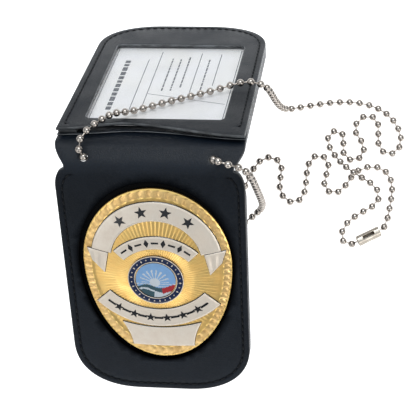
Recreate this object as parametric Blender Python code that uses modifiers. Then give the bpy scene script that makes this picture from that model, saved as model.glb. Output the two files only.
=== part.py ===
"""Neck badge holder: a fold-over leather holder on a bead chain, standing as a small tent.

The ridge of the tent is the leather spine, along X. The badge panel slopes down towards -Y and the
ID flap towards +Y. Each panel hangs from an empty on its crease, whose local X runs along the crease
and whose local Z points out of the panel's face, so the panels can be folded by turning the empties.
"""

import math

import bmesh
import bpy
from mathutils import Matrix, Vector

# Clearances
SEAT_GAP = 0.0003
OVERRUN = 0.002

# Leather
STRAP_THICKNESS = 0.0018
CORE_THICKNESS = 0.0010
BACK_THICKNESS = 0.0010
LINER_THICKNESS = 0.0004
FRAME_THICKNESS = 0.0012
FILM_THICKNESS = 0.00025

# Spine between the two creases
SPINE_WIDTH = 0.0090
NECK_WAIST = 0.0039
CHAIN_HOLE_RADIUS = 0.0023
CHAIN_HOLE_SPREAD = 0.0248
CHAIN_HOLE_SETBACK = 0.0016

# Panels, as the leather kept round the badge and round the card
PANEL_TAPER = 0.0009
BADGE_PANEL_SHOULDER = 0.0080
BADGE_PANEL_MARGIN = 0.0147
BADGE_SIDE_WALL = 0.0056
LAYER_SETBACK = 0.0062
POCKET_WALL = 0.0076
POCKET_END_WALL = 0.0085
FLAP_CORNER = 0.0015
CAP_DEPTH = 0.0220
CAP_FLAT_HALF = 0.0090
CAP_POWER = 2.3
TENT_SLOPE = math.radians(46.0)

# Badge and the egg-shaped recess it sits in, placed from the crease and the panel's middle line
BADGE_START = 0.0095
BADGE_WIDTH = 0.0586
BADGE_TOP_LENGTH = 0.0330
BADGE_LOWER_LENGTH = 0.0446
BADGE_SIDE_SHIFT = 0.0009
BADGE_WALL = 0.0010
BADGE_CROWN = 0.0030
DOME_POWER = 2.2
CUTOUT_SIDE_SHIFT = 0.0005
CUTOUT_SIDE_GAP = 0.0012
CUTOUT_TOP_GAP = 0.0027
CUTOUT_LOWER_GAP = 0.0012
APPLIED_THICKNESS = 0.0005

# Ribbons on the badge: the radius of each edge, how far its ends keep inside the badge's sides, and
# its place from the badge's waist or the seal
TOP_RIBBON_RISE = 0.0020
TOP_RIBBON_SIDE = 0.00389
TOP_RIBBON_INNER = 0.0180
TOP_RIBBON_OUTER = 0.0258
TOP_RIBBON_SWEEP = math.radians(80.0)
TITLE_RIBBON_DROP = 0.0033
TITLE_RIBBON_SIDE = 0.01262
TITLE_RIBBON_INNER = 0.0174
TITLE_RIBBON_OUTER = 0.0228
TITLE_RIBBON_SWEEP = math.radians(47.0)
LOWER_RIBBON_RISE = 0.0126
LOWER_RIBBON_SIDE = 0.00462
LOWER_RIBBON_INNER = 0.0266
LOWER_RIBBON_OUTER = 0.0349
LOWER_RIBBON_SWEEP = math.radians(45.0)
TAIL_LENGTH = 0.0091
TAIL_LEAN = 0.0019
TAIL_OUTER_LENGTH = 0.0054
TAIL_OUTER_TAPER = 0.0017
TAIL_START_SHARE = 0.16
TAIL_END_SHARE = 1.25

# Seal and number plate
SEAL_DROP = 0.0062
SEAL_SIDE_SHIFT = 0.0003
SEAL_RING_OUTER = 0.0110
SEAL_RING_INNER = 0.0082
PLATE_LEFT = 0.0112
PLATE_RIGHT = 0.0136
PLATE_MARGIN = 0.0059
PLATE_SCROLL = 0.0034
PLATE_ARCH = 0.0026

# Pin hardware on the back of the badge
PIN_DROP = 0.0045
PIN_RADIUS = 0.0004
PIN_HALF_SPAN = 0.0160
PIN_FIT = 0.00015
BLOCK_LENGTH = 0.0032
BLOCK_WIDTH = 0.0048
SLEEVE_LENGTH = 0.0022
SLEEVE_WALL = 0.0003
SLEEVE_MOUTH = math.radians(50.0)
LOOP_WIDTH = 0.0140
LOOP_THICKNESS = 0.0008
LOOP_FOOT = 0.0036
LOOP_RISE_RUN = 0.0024
LOOP_BRIDGE = 0.0064

# Card pocket on the flap
CARD_WIDTH = 0.0570
CARD_LENGTH = 0.0850
CARD_THICKNESS = 0.00076
CARD_CORNER = 0.0030
CARD_SIDE_PLAY = 0.0005
CARD_FAR_PLAY = 0.0005
CARD_START = 0.0115
WINDOW_SIDE_COVER = 0.00155
WINDOW_NEAR_COVER = 0.0009
WINDOW_FAR_COVER = 0.01175
WINDOW_CORNER = 0.0020
FILM_LAP = 0.0017

# Pocket mouths: where each mouth edge meets the sides, and the thumb curve between them
FRAME_MOUTH_LEFT = 0.0030
FRAME_MOUTH_RIGHT = -0.0012
FRAME_MOUTH_RISE = 0.0068
FRAME_MOUTH_PEAK = -0.0100
LINER_MOUTH_LEFT = 0.0038
LINER_MOUTH_RIGHT = 0.0020
LINER_MOUTH_RISE = 0.0044
LINER_MOUTH_PEAK = -0.0050

# Stitching
STITCH_INSET = 0.0026
FLAP_STITCH_START = 0.0065
WELT_START = 0.0045
THREAD_DIAMETER = 0.0004

# Bead chain, as a plain tube over the beads
CHAIN_DIAMETER = 0.0032
CHAIN_LONGEST_STEP = 0.0100
CHAIN_TURN_STEP = math.radians(34.0)
CHAIN_SAMPLES = 12
CHAIN_LEAD_SHARE = 0.35
CONNECTOR_LENGTH = 0.0100
CONNECTOR_DIAMETER = 0.0044
CONNECTOR_WALL = 0.00035
CONNECTOR_SLOT_LENGTH = 0.0050
CONNECTOR_SLOT_WIDTH = 0.0014
CONNECTOR_EDGE = 0.0001
CONNECTOR_PLACE = (0.08070, -0.01239, 0.00225)
CONNECTOR_TURN = math.radians(28.0)

# The chain's route, chosen by hand: out of the left hole, over the flap and down to the table, then
# loosely along it to the connector, and the same from the right hole, past the badge panel's shoulder
INNER_RUN_ROUTE = (
    (0.0249, -0.00384, 0.07770),
    (0.0249, -0.00384, 0.07600),
    (0.0236, -0.00384, 0.07412),
    (0.0210, -0.00384, 0.07282),
    (0.0160, -0.00384, 0.07252),
    (0.0080, -0.00384, 0.07252),
    (0.0000, -0.00384, 0.07252),
)
OVER_FLAP_ROUTE = (
    (-0.0249, -0.0038, 0.0777),
    (-0.0251, -0.0037, 0.0794),
    (-0.0261, -0.0024, 0.0808),
    (-0.0263, -0.0001, 0.0819),
    (-0.0254, 0.0029, 0.0825),
    (-0.0229, 0.0062, 0.0817),
    (-0.0202, 0.0096, 0.0796),
    (-0.0176, 0.0126, 0.077),
    (-0.0152, 0.0155, 0.073459),
    (-0.0122, 0.0168, 0.070254),
    (-0.0086, 0.0187, 0.066826),
    (-0.0034, 0.0215, 0.063701),
    (0.0030, 0.0249, 0.060248),
    (0.0098, 0.0279, 0.057083),
    (0.0166, 0.0310, 0.053952),
    (0.0216, 0.0331, 0.05236),
    (0.0262, 0.0349, 0.052186),
    (0.0310, 0.0365, 0.051735),
    (0.0354, 0.0368, 0.051589),
    (0.0386, 0.0357, 0.051537),
    (0.0407, 0.0355, 0.0478),
    (0.0413, 0.0360, 0.041),
)
LEFT_DROP_ROUTE = (
    (0.0413, 0.0360, 0.041),
    (0.0417, 0.0372, 0.03),
    (0.0425, 0.0387, 0.017),
    (0.0436, 0.0406, 0.0076),
    (0.0460, 0.0422, 0.0028),
    (0.0494, 0.0433, 0.00165),
)
TABLE_LEFT_ROUTE = (
    (0.0494, 0.0433, 0.00165),
    (0.0565, 0.0447, 0.00165),
    (0.0648, 0.0460, 0.00165),
    (0.0728, 0.0462, 0.00165),
    (0.0806, 0.0448, 0.00165),
    (0.0874, 0.0410, 0.00165),
    (0.0918, 0.0350, 0.00165),
    (0.0932, 0.0292, 0.00165),
    (0.0918, 0.0248, 0.00165),
    (0.0880, 0.0228, 0.00165),
    (0.0843, 0.0248, 0.00165),
    (0.0829, 0.0292, 0.00165),
    (0.0834, 0.0336, 0.00165),
    (0.0831, 0.0374, 0.00165),
    (0.0806, 0.0402, 0.00165),
    (0.0771, 0.0402, 0.00165),
    (0.0742, 0.0378, 0.00165),
    (0.0731, 0.0345, 0.00165),
    (0.0742, 0.0312, 0.00165),
    (0.0768, 0.0286, 0.00165),
    (0.0778, 0.0250, 0.00165),
    (0.0764, 0.0214, 0.00165),
    (0.0728, 0.0199, 0.00165),
    (0.0694, 0.0218, 0.00165),
    (0.0684, 0.0254, 0.00165),
    (0.0690, 0.0288, 0.00165),
    (0.0687, 0.0320, 0.00165),
    (0.0656, 0.0338, 0.00165),
    (0.0623, 0.0320, 0.00165),
    (0.0618, 0.0282, 0.00165),
    (0.0638, 0.0244, 0.00165),
    (0.0665, 0.0208, 0.002),
    (0.0694, 0.0174, 0.004),
    (0.0728, 0.0144, 0.006),
    (0.0764, 0.0124, 0.0043),
    (0.0799, 0.0112, 0.0021),
    (0.0830, 0.0090, 0.00165),
    (0.0846, 0.0058, 0.00165),
    (0.0840, 0.0024, 0.00165),
    (0.0812, -0.0000, 0.00165),
    (0.0778, -0.0018, 0.00165),
    (0.0742, -0.0042, 0.00165),
    (0.0710, -0.0072, 0.00165),
    (0.0692, -0.0110, 0.00165),
    (0.0698, -0.0148, 0.00165),
    (0.0726, -0.0165, 0.00165),
    (0.0755, -0.0151, 0.0021),
    (0.0776, -0.0140, 0.00225),
)
RIGHT_DROP_ROUTE = (
    (0.0249, -0.0038, 0.0777),
    (0.0251, -0.0040, 0.0792),
    (0.0263, -0.0050, 0.0804),
    (0.0289, -0.0061, 0.0809),
    (0.0324, -0.0069, 0.0807),
    (0.0356, -0.0074, 0.0791),
    (0.0376, -0.0079, 0.0760),
    (0.0386, -0.0083, 0.0714),
    (0.0390, -0.0083, 0.0625),
    (0.0390, -0.0075, 0.0465),
    (0.0386, -0.0056, 0.0265),
    (0.0374, -0.0042, 0.014),
    (0.0354, -0.0041, 0.0074),
    (0.0324, -0.0054, 0.0034),
)
UNDER_TURN_ROUTE = (
    (0.0324, -0.0054, 0.0034),
    (0.0292, -0.0078, 0.0018),
    (0.0256, -0.0090, 0.00165),
    (0.0222, -0.0074, 0.00165),
    (0.0208, -0.0036, 0.00165),
    (0.0218, 0.0006, 0.00165),
    (0.0249, 0.0040, 0.00165),
    (0.0279, 0.0072, 0.00165),
    (0.0298, 0.0114, 0.00165),
    (0.0313, 0.0162, 0.00165),
    (0.0341, 0.0198, 0.00165),
    (0.0379, 0.0214, 0.00165),
    (0.0403, 0.0208, 0.00165),
    (0.0428, 0.0187, 0.00165),
    (0.0435, 0.0154, 0.00165),
    (0.0429, 0.0120, 0.00165),
)
TABLE_RIGHT_ROUTE = (
    (0.0429, 0.0120, 0.00165),
    (0.0426, 0.0086, 0.00165),
    (0.0435, 0.0050, 0.00165),
    (0.0460, 0.0020, 0.00165),
    (0.0497, 0.0012, 0.00165),
    (0.0527, 0.0034, 0.00165),
    (0.0537, 0.0072, 0.00165),
    (0.0538, 0.0112, 0.00165),
    (0.0539, 0.0154, 0.00165),
    (0.0546, 0.0195, 0.00165),
    (0.0571, 0.0225, 0.00165),
    (0.0608, 0.0222, 0.00165),
    (0.0630, 0.0192, 0.00165),
    (0.0629, 0.0156, 0.00165),
    (0.0615, 0.0124, 0.00165),
    (0.0612, 0.0088, 0.00165),
    (0.0637, 0.0058, 0.00165),
    (0.0675, 0.0060, 0.00165),
    (0.0703, 0.0090, 0.00165),
    (0.0722, 0.0126, 0.00165),
    (0.0746, 0.0156, 0.00165),
    (0.0779, 0.0174, 0.00165),
    (0.0819, 0.0180, 0.00165),
    (0.0858, 0.0170, 0.00165),
    (0.0887, 0.0138, 0.00165),
    (0.0899, 0.0094, 0.00165),
    (0.0896, 0.0046, 0.00165),
    (0.0889, -0.0002, 0.00165),
    (0.0882, -0.0046, 0.00165),
    (0.0874, -0.0078, 0.00165),
    (0.0858, -0.0096, 0.0021),
    (0.0838, -0.0107, 0.00225),
)

# Heights of the layers above each crease's axis, which runs mid-way through the strap
STRAP_FACE = STRAP_THICKNESS / 2
CORE_TOP = -STRAP_FACE - SEAT_GAP
CORE_LOW = CORE_TOP - CORE_THICKNESS
BACK_TOP = CORE_LOW - SEAT_GAP
BACK_LOW = BACK_TOP - BACK_THICKNESS
BADGE_LOW = CORE_TOP + SEAT_GAP
BADGE_RIM_TOP = BADGE_LOW + BADGE_WALL
LINER_LOW = STRAP_FACE + SEAT_GAP
CARD_LOW = LINER_LOW + LINER_THICKNESS + SEAT_GAP
FILM_LOW = CARD_LOW + CARD_THICKNESS + SEAT_GAP
FRAME_LOW = FILM_LOW + FILM_THICKNESS + SEAT_GAP
FRAME_TOP = FRAME_LOW + FRAME_THICKNESS
WELT_THICKNESS = FRAME_LOW - SEAT_GAP - CARD_LOW

# Places down the badge panel, from its crease
BADGE_HALF_WIDTH = BADGE_WIDTH / 2
BADGE_WAIST = BADGE_START + BADGE_TOP_LENGTH
BADGE_END = BADGE_WAIST + BADGE_LOWER_LENGTH
BADGE_PANEL_LENGTH = BADGE_END + CUTOUT_LOWER_GAP + BADGE_PANEL_MARGIN
SEAL_CENTRE = BADGE_WAIST + SEAL_DROP
TOP_RIBBON_CENTRE = BADGE_WAIST - TOP_RIBBON_RISE
TITLE_RIBBON_CENTRE = SEAL_CENTRE + TITLE_RIBBON_DROP
LOWER_RIBBON_CENTRE = SEAL_CENTRE - LOWER_RIBBON_RISE
PLATE_LOW_EDGE = BADGE_END - PLATE_MARGIN
PIN_LINE = BADGE_WAIST + PIN_DROP

# The pocket fits the card, and both panels are as wide as the wider of pocket and badge asks
CARD_HALF_WIDTH = CARD_WIDTH / 2
WELT_INNER_HALF = CARD_HALF_WIDTH + CARD_SIDE_PLAY
PANEL_HALF_WIDTH = max(WELT_INNER_HALF + POCKET_WALL,
                       BADGE_HALF_WIDTH + CUTOUT_SIDE_SHIFT + CUTOUT_SIDE_GAP + BADGE_SIDE_WALL)
NECK_HALF_WIDTH = PANEL_HALF_WIDTH - NECK_WAIST
CARD_END = CARD_START + CARD_LENGTH
POCKET_END = CARD_END + CARD_FAR_PLAY
ID_FLAP_LENGTH = POCKET_END + POCKET_END_WALL
WINDOW_HALF_WIDTH = CARD_HALF_WIDTH - WINDOW_SIDE_COVER
WINDOW_NEAR = CARD_START + WINDOW_NEAR_COVER
WINDOW_FAR = CARD_END - WINDOW_FAR_COVER

# The tent: both far ends stand on the table, and the origin is under the middle of the box
RIDGE_HEIGHT = BADGE_PANEL_LENGTH * math.sin(TENT_SLOPE) - BACK_LOW * math.cos(TENT_SLOPE)
FLAP_SLOPE = (math.asin(RIDGE_HEIGHT / math.hypot(ID_FLAP_LENGTH, STRAP_FACE))
              - math.atan2(STRAP_FACE, ID_FLAP_LENGTH))
NEAR_REACH = BADGE_PANEL_LENGTH * math.cos(TENT_SLOPE) + STRAP_FACE * math.sin(TENT_SLOPE)
FAR_REACH = ID_FLAP_LENGTH * math.cos(FLAP_SLOPE) + FRAME_TOP * math.sin(FLAP_SLOPE)
RIDGE_Y = (NEAR_REACH - FAR_REACH) / 2
STRAP_START = STRAP_FACE + SEAT_GAP

CHAIN_RADIUS = CHAIN_DIAMETER / 2

# Counts of steps
CAP_STEPS = 9
SHOULDER_STEPS = 5
EGG_STEPS = 56
DOME_RINGS = 8
MOUTH_STEPS = 16
CORNER_STEPS = 4
ROUND_STEPS = 24

LEATHER = ("leather_black", (0.012, 0.017, 0.020, 1.0), 0.42, 0.0)
LINING = ("lining_black", (0.014, 0.015, 0.017, 1.0), 0.60, 0.0)
THREAD = ("thread_black", (0.010, 0.011, 0.013, 1.0), 0.70, 0.0)
GOLD = ("badge_gold", (0.80, 0.55, 0.18, 1.0), 0.28, 1.0)
SILVER = ("badge_silver", (0.74, 0.74, 0.76, 1.0), 0.30, 1.0)
NICKEL = ("chain_nickel", (0.62, 0.60, 0.58, 1.0), 0.22, 1.0)
BLUE_ENAMEL = ("enamel_blue", (0.015, 0.035, 0.12, 1.0), 0.15, 0.0)
SEAL_ENAMEL = ("enamel_seal", (0.25, 0.45, 0.68, 1.0), 0.20, 0.0)
CARD_STOCK = ("card_white", (0.86, 0.86, 0.90, 1.0), 0.45, 0.0)
CLEAR_FILM = ("window_clear", (0.92, 0.94, 0.95, 1.0), 0.08, 0.0)


def clear_scene():
    """Removes whatever the file holds."""
    for item in list(bpy.data.objects):
        bpy.data.objects.remove(item, do_unlink=True)


def new_collection(name):
    """Makes a collection in the scene."""
    collection = bpy.data.collections.new(name)
    bpy.context.scene.collection.children.link(collection)
    return collection


def material(spec):
    """Returns the Principled material of a finish, made on first use."""
    name, colour, roughness, metallic = spec
    found = bpy.data.materials.get(name)
    if found:
        return found
    made = bpy.data.materials.new(name)
    made.use_nodes = True
    shader = made.node_tree.nodes["Principled BSDF"]
    shader.inputs["Base Color"].default_value = colour
    shader.inputs["Roughness"].default_value = roughness
    shader.inputs["Metallic"].default_value = metallic
    made.diffuse_color = colour
    return made


def crease_empty(name, y, slope):
    """Makes the empty on a crease's axis, tilted so that its local Z leaves the panel's face."""
    empty = bpy.data.objects.new(name, None)
    empty.location = (0, y, RIDGE_HEIGHT)
    empty.rotation_euler = (slope, 0, 0)
    empty.empty_display_size = SPINE_WIDTH
    guides.objects.link(empty)
    return empty


def add_object(name, mesh, parent, spec, location=(0, 0, 0), rotation=(0, 0, 0)):
    """Puts a mesh in the part's collection as a sub-part with its finish."""
    item = bpy.data.objects.new(name, mesh)
    item.parent = parent
    item.location = location
    item.rotation_euler = rotation
    mesh.materials.clear()
    mesh.materials.append(material(spec))
    parts.objects.link(item)
    return item


def weld(mesh):
    """Joins the loose caps of a converted curve and turns its faces outwards."""
    form = bmesh.new()
    form.from_mesh(mesh)
    bmesh.ops.remove_doubles(form, verts=form.verts, dist=0.000001)
    bmesh.ops.recalc_face_normals(form, faces=form.faces)
    form.to_mesh(mesh)
    form.free()
    return mesh


def slab_mesh(name, loops, thickness):
    """Makes a flat slab from closed outlines, the first one outside and the rest holes."""
    curve = bpy.data.curves.new(name, "CURVE")
    curve.dimensions = "2D"
    curve.fill_mode = "BOTH"
    curve.extrude = thickness / 2
    for loop in loops:
        spline = curve.splines.new("POLY")
        spline.points.add(len(loop) - 1)
        for point, (x, y) in zip(spline.points, loop):
            point.co = (x, y, 0, 1)
        spline.use_cyclic_u = True
    holder = bpy.data.objects.new(name, curve)
    bpy.context.scene.collection.objects.link(holder)
    bpy.context.view_layer.update()
    ready = holder.evaluated_get(bpy.context.evaluated_depsgraph_get())
    mesh = bpy.data.meshes.new_from_object(ready)
    bpy.data.objects.remove(holder, do_unlink=True)
    bpy.data.curves.remove(curve)
    return weld(mesh)


def layer(name, loops, low, thickness, parent, side, spec):
    """Makes one flat layer of a panel. Outlines are (across, down) from the crease."""
    turned = [[(u, side * v) for u, v in loop] for loop in loops]
    mesh = slab_mesh(name, turned, thickness)
    return add_object(name, mesh, parent, spec, location=(0, 0, low + thickness / 2))


def cutter(name, mesh, owner, operation="DIFFERENCE", location=(0, 0, 0), rotation=(0, 0, 0)):
    """Cuts an object with a mesh kept in the cutters' collection."""
    tool = bpy.data.objects.new(name, mesh)
    tool.parent = owner.parent
    tool.location = location
    tool.rotation_euler = rotation
    tool.hide_render = True
    tool.display_type = "WIRE"
    cutters.objects.link(tool)
    cut = owner.modifiers.new(name, "BOOLEAN")
    cut.operation = operation
    cut.solver = "EXACT"
    cut.object = tool
    return tool


def rod_mesh(name, radius, length):
    """Makes a closed cylinder along its local Z."""
    mesh = bpy.data.meshes.new(name)
    form = bmesh.new()
    bmesh.ops.create_cone(form, cap_ends=True, segments=ROUND_STEPS, radius1=radius, radius2=radius,
                          depth=length)
    form.to_mesh(mesh)
    form.free()
    return mesh


def box_mesh(name, size):
    """Makes a closed box of a given size about its own middle."""
    mesh = bpy.data.meshes.new(name)
    form = bmesh.new()
    bmesh.ops.create_cube(form, size=1, matrix=Matrix.Diagonal((*size, 1)))
    form.to_mesh(mesh)
    form.free()
    return mesh


def bevel(item, width, segments=2):
    """Rounds an object's sharp edges."""
    edge = item.modifiers.new("rounded_edges", "BEVEL")
    edge.width = width
    edge.segments = segments
    edge.limit_method = "ANGLE"


# Outlines of the panels

def panel_side(length, start, neck, shoulder, inset=0):
    """Right-hand edge of a panel, from its crease end to the middle part of its far end."""
    half = PANEL_HALF_WIDTH - inset
    end_half = half - PANEL_TAPER
    points = []
    for step in range(SHOULDER_STEPS + 1):
        turn = math.pi / 2 * step / SHOULDER_STEPS
        across = neck - inset + (half + inset - neck) * math.sin(turn)
        points.append((across, start + shoulder * (1 - math.cos(turn))))
    for step in range(CAP_STEPS + 1):
        turn = math.pi / 2 * step / CAP_STEPS
        across = CAP_FLAT_HALF + (end_half - CAP_FLAT_HALF) * math.cos(turn) ** (2 / CAP_POWER)
        down = length - CAP_DEPTH + (CAP_DEPTH - inset) * math.sin(turn) ** (2 / CAP_POWER)
        points.append((across, down))
    return points


def mirrored(points):
    """The same edge on the left, walked back to the crease."""
    return [(-u, v) for u, v in reversed(points)]


def badge_panel_outline(start, inset=0):
    """Outline of the badge panel, which widens from the neck in rounded shoulders."""
    side = panel_side(BADGE_PANEL_LENGTH, start, NECK_HALF_WIDTH, BADGE_PANEL_SHOULDER, inset)
    return side + mirrored(side)


def flap_side(start, inset=0):
    """Right-hand edge of the ID flap, which has its full width from the crease."""
    return panel_side(ID_FLAP_LENGTH, start, PANEL_HALF_WIDTH - FLAP_CORNER, FLAP_CORNER, inset)


def flap_outline(start, inset=0):
    """Outline of the ID flap."""
    side = flap_side(start, inset)
    return side + mirrored(side)


def mouth_edge(left, right, rise, peak):
    """Pocket mouth from left to right: a thumb curve over the line between its two ends."""
    half = PANEL_HALF_WIDTH
    points = []
    for step in range(MOUTH_STEPS + 1):
        across = half * (2 * step / MOUTH_STEPS - 1)
        base = left + (right - left) * (across + half) / (2 * half)
        reach = half - peak if across > peak else half + peak
        swell = math.cos(math.pi / 2 * (across - peak) / reach) ** 2
        points.append((across, base + rise * swell))
    return points


def pocket_outline(mouth):
    """Outline of a pocket ply: its mouth edge, then the flap's sides and far end."""
    side = flap_side(0)[SHOULDER_STEPS + 1:]
    return mouth + side + mirrored(side)


def egg_loop(side_gap, top_gap, lower_gap, shift):
    """The badge's egg outline, grown by a gap at its sides, top and lower end."""
    points = []
    for step in range(EGG_STEPS):
        turn = 2 * math.pi * step / EGG_STEPS
        across = shift + (BADGE_HALF_WIDTH + side_gap) * math.sin(turn)
        reach = BADGE_LOWER_LENGTH + lower_gap if math.cos(turn) > 0 else BADGE_TOP_LENGTH + top_gap
        points.append((across, BADGE_WAIST + reach * math.cos(turn)))
    return points


def round_rectangle(half_width, near, far, corner):
    """Rectangle with rounded corners, from (across, down) extents."""
    points = []
    corners = ((half_width, far, 0), (-half_width, far, 1), (-half_width, near, 2), (half_width, near, 3))
    for across, down, quarter in corners:
        centre_u = across - math.copysign(corner, across)
        centre_v = down - corner if down == far else down + corner
        for step in range(CORNER_STEPS + 1):
            turn = math.pi / 2 * (quarter + step / CORNER_STEPS)
            points.append((centre_u + corner * math.cos(turn), centre_v + corner * math.sin(turn)))
    return points


# The strap

def make_spine():
    """The middle of the strap, with half-round long edges that the panels turn about."""
    half = SPINE_WIDTH / 2
    section = []
    for centre, first in ((half, -math.pi / 2), (-half, math.pi / 2)):
        for step in range(CORNER_STEPS * 2 + 1):
            turn = first + math.pi * step / (CORNER_STEPS * 2)
            section.append((centre + STRAP_FACE * math.cos(turn), STRAP_FACE * math.sin(turn)))
    mesh = slab_mesh("spine_leather", [section], 2 * (PANEL_HALF_WIDTH + OVERRUN))
    spine = add_object("spine_leather", mesh, None, LEATHER, location=(0, RIDGE_Y, RIDGE_HEIGHT),
                       rotation=(math.pi / 2, 0, math.pi / 2))
    edge = [(NECK_HALF_WIDTH, -half - OVERRUN)]
    for step in range(ROUND_STEPS + 1):
        share = step / ROUND_STEPS
        across = NECK_HALF_WIDTH + (PANEL_HALF_WIDTH - NECK_HALF_WIDTH) * math.sin(math.pi / 2 * share)
        edge.append((across, SPINE_WIDTH * share - half))
    edge.append((PANEL_HALF_WIDTH, half + OVERRUN))
    plan = slab_mesh("spine_plan", [edge + mirrored(edge)], STRAP_THICKNESS + OVERRUN)
    cutter("spine_plan", plan, spine, "INTERSECT", location=(0, RIDGE_Y, RIDGE_HEIGHT))
    for side, label in ((-1, "left"), (1, "right")):
        name = "chain_hole_" + label
        hole = rod_mesh(name, CHAIN_HOLE_RADIUS, STRAP_THICKNESS + OVERRUN)
        place = (side * CHAIN_HOLE_SPREAD, RIDGE_Y - CHAIN_HOLE_SETBACK, RIDGE_HEIGHT)
        cutter(name, hole, spine, location=place)


# The badge panel

def make_badge_panel(crease):
    """Three leather layers: the face with its cut-out, the recess floor and the back lining."""
    cutout = egg_loop(CUTOUT_SIDE_GAP, CUTOUT_TOP_GAP, CUTOUT_LOWER_GAP, CUTOUT_SIDE_SHIFT)
    face = [badge_panel_outline(STRAP_START), cutout]
    layer("badge_panel_front", face, -STRAP_FACE, STRAP_THICKNESS, crease, -1, LEATHER)
    inner = [badge_panel_outline(LAYER_SETBACK)]
    layer("badge_panel_core", inner, CORE_LOW, CORE_THICKNESS, crease, -1, LEATHER)
    layer("badge_panel_back", inner, BACK_LOW, BACK_THICKNESS, crease, -1, LINING)


def egg_share(u, v):
    """Distance from the badge's middle as a share of its egg outline: 0 in the middle, 1 at the rim."""
    down = v - BADGE_WAIST
    reach = BADGE_LOWER_LENGTH if down > 0 else BADGE_TOP_LENGTH
    return math.hypot((u - BADGE_SIDE_SHIFT) / BADGE_HALF_WIDTH, down / reach)


def dome_height(u, v):
    """Height of the badge's face over the crease's axis."""
    return BADGE_RIM_TOP + BADGE_CROWN * (1 - egg_share(u, v) ** DOME_POWER)


def solidify(item, thickness, offset):
    """Gives an open surface its thickness."""
    wall = item.modifiers.new("wall", "SOLIDIFY")
    wall.thickness = thickness
    wall.offset = offset
    wall.use_even_offset = True


def smooth(mesh):
    """Shades a round piece smooth."""
    mesh.shade_smooth()
    mesh.set_sharp_from_angle(angle=math.radians(40))


def make_badge(crease):
    """The domed badge, an open crown with a wall, spun as a unit dome and drawn out to an egg."""
    mesh = bpy.data.meshes.new("badge_body")
    form = bmesh.new()
    profile = [form.verts.new((ring / DOME_RINGS, 0, 0)) for ring in range(DOME_RINGS + 1)]
    edges = [form.edges.new(pair) for pair in zip(profile, profile[1:])]
    bmesh.ops.spin(form, geom=profile + edges, axis=(0, 0, 1), cent=(0, 0, 0),
                   angle=2 * math.pi, steps=EGG_STEPS, use_merge=True)
    bmesh.ops.remove_doubles(form, verts=form.verts, dist=0.0001)
    for vert in form.verts:
        x, y, _ = vert.co
        reach = BADGE_TOP_LENGTH if y > 0 else BADGE_LOWER_LENGTH
        u = BADGE_SIDE_SHIFT + x * BADGE_HALF_WIDTH
        v = BADGE_WAIST - y * reach
        vert.co = (u, -v, dome_height(u, v))
    bmesh.ops.recalc_face_normals(form, faces=form.faces)
    if sum(face.normal.z for face in form.faces) < 0:
        bmesh.ops.reverse_faces(form, faces=form.faces)
    form.to_mesh(mesh)
    form.free()
    smooth(mesh)
    badge = add_object("badge_body", mesh, crease, GOLD)
    solidify(badge, BADGE_WALL, -1)


def dome_grid(form, columns, rows, place):
    """Adds a patch that follows the dome, from a function of two shares across the patch."""
    grid = []
    for row in range(rows + 1):
        line = []
        for column in range(columns + 1):
            u, v = place(column / columns, row / rows)
            line.append(form.verts.new((u, -v, dome_height(u, v) + SEAT_GAP)))
        grid.append(line)
    for row in range(rows):
        for column in range(columns):
            corners = (grid[row][column], grid[row][column + 1], grid[row + 1][column + 1],
                       grid[row + 1][column])
            form.faces.new(corners)


def applied_piece(name, columns, rows, place, crease, spec):
    """A thin struck piece that follows the dome."""
    mesh = bpy.data.meshes.new(name)
    form = bmesh.new()
    dome_grid(form, columns, rows, place)
    for face in form.faces:
        face.normal_update()
        if face.normal.z < 0:
            face.normal_flip()
    form.to_mesh(mesh)
    form.free()
    piece = add_object(name, mesh, crease, spec)
    solidify(piece, APPLIED_THICKNESS, 1)


def stretch(side_margin, outer, sweep):
    """How much a ring is drawn out sideways to bring its ends to a margin inside the badge's sides."""
    return (BADGE_HALF_WIDTH - side_margin) / (outer * math.sin(sweep))


def arc_patch(shift, centre, inner, outer, sweep, side, drawn):
    """Band of a ring, drawn out sideways: side -1 arches towards the crease, +1 hangs like a smile."""
    def place(along, across):
        turn = sweep * (2 * along - 1)
        radius = inner + (outer - inner) * across
        across_badge = shift + drawn * radius * math.sin(turn)
        return across_badge, centre + side * radius * math.cos(turn)
    return place


def tail_patch(side):
    """Folded tail of the top ribbon: it leaves just below the ribbon's end and narrows to a point."""
    def place(along, across):
        share = TAIL_START_SHARE + (TAIL_END_SHARE - TAIL_START_SHARE) * along
        radius = TOP_RIBBON_INNER + (TOP_RIBBON_OUTER - TOP_RIBBON_INNER) * share
        lean = TAIL_LEAN - (TAIL_LEAN + TAIL_OUTER_TAPER) * along
        down = TAIL_LENGTH + (TAIL_OUTER_LENGTH - TAIL_LENGTH) * along
        u = TOP_STRETCH * radius * math.sin(TOP_RIBBON_SWEEP) + lean * across
        v = TOP_RIBBON_CENTRE - radius * math.cos(TOP_RIBBON_SWEEP) + TAIL_GAP + down * across
        return BADGE_SIDE_SHIFT + side * u, v
    return place


TOP_STRETCH = stretch(TOP_RIBBON_SIDE, TOP_RIBBON_OUTER, TOP_RIBBON_SWEEP)
TITLE_STRETCH = stretch(TITLE_RIBBON_SIDE, TITLE_RIBBON_OUTER, TITLE_RIBBON_SWEEP)
LOWER_STRETCH = stretch(LOWER_RIBBON_SIDE, LOWER_RIBBON_OUTER, LOWER_RIBBON_SWEEP)
TAIL_GAP = SEAT_GAP / math.sin(TOP_RIBBON_SWEEP)


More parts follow.
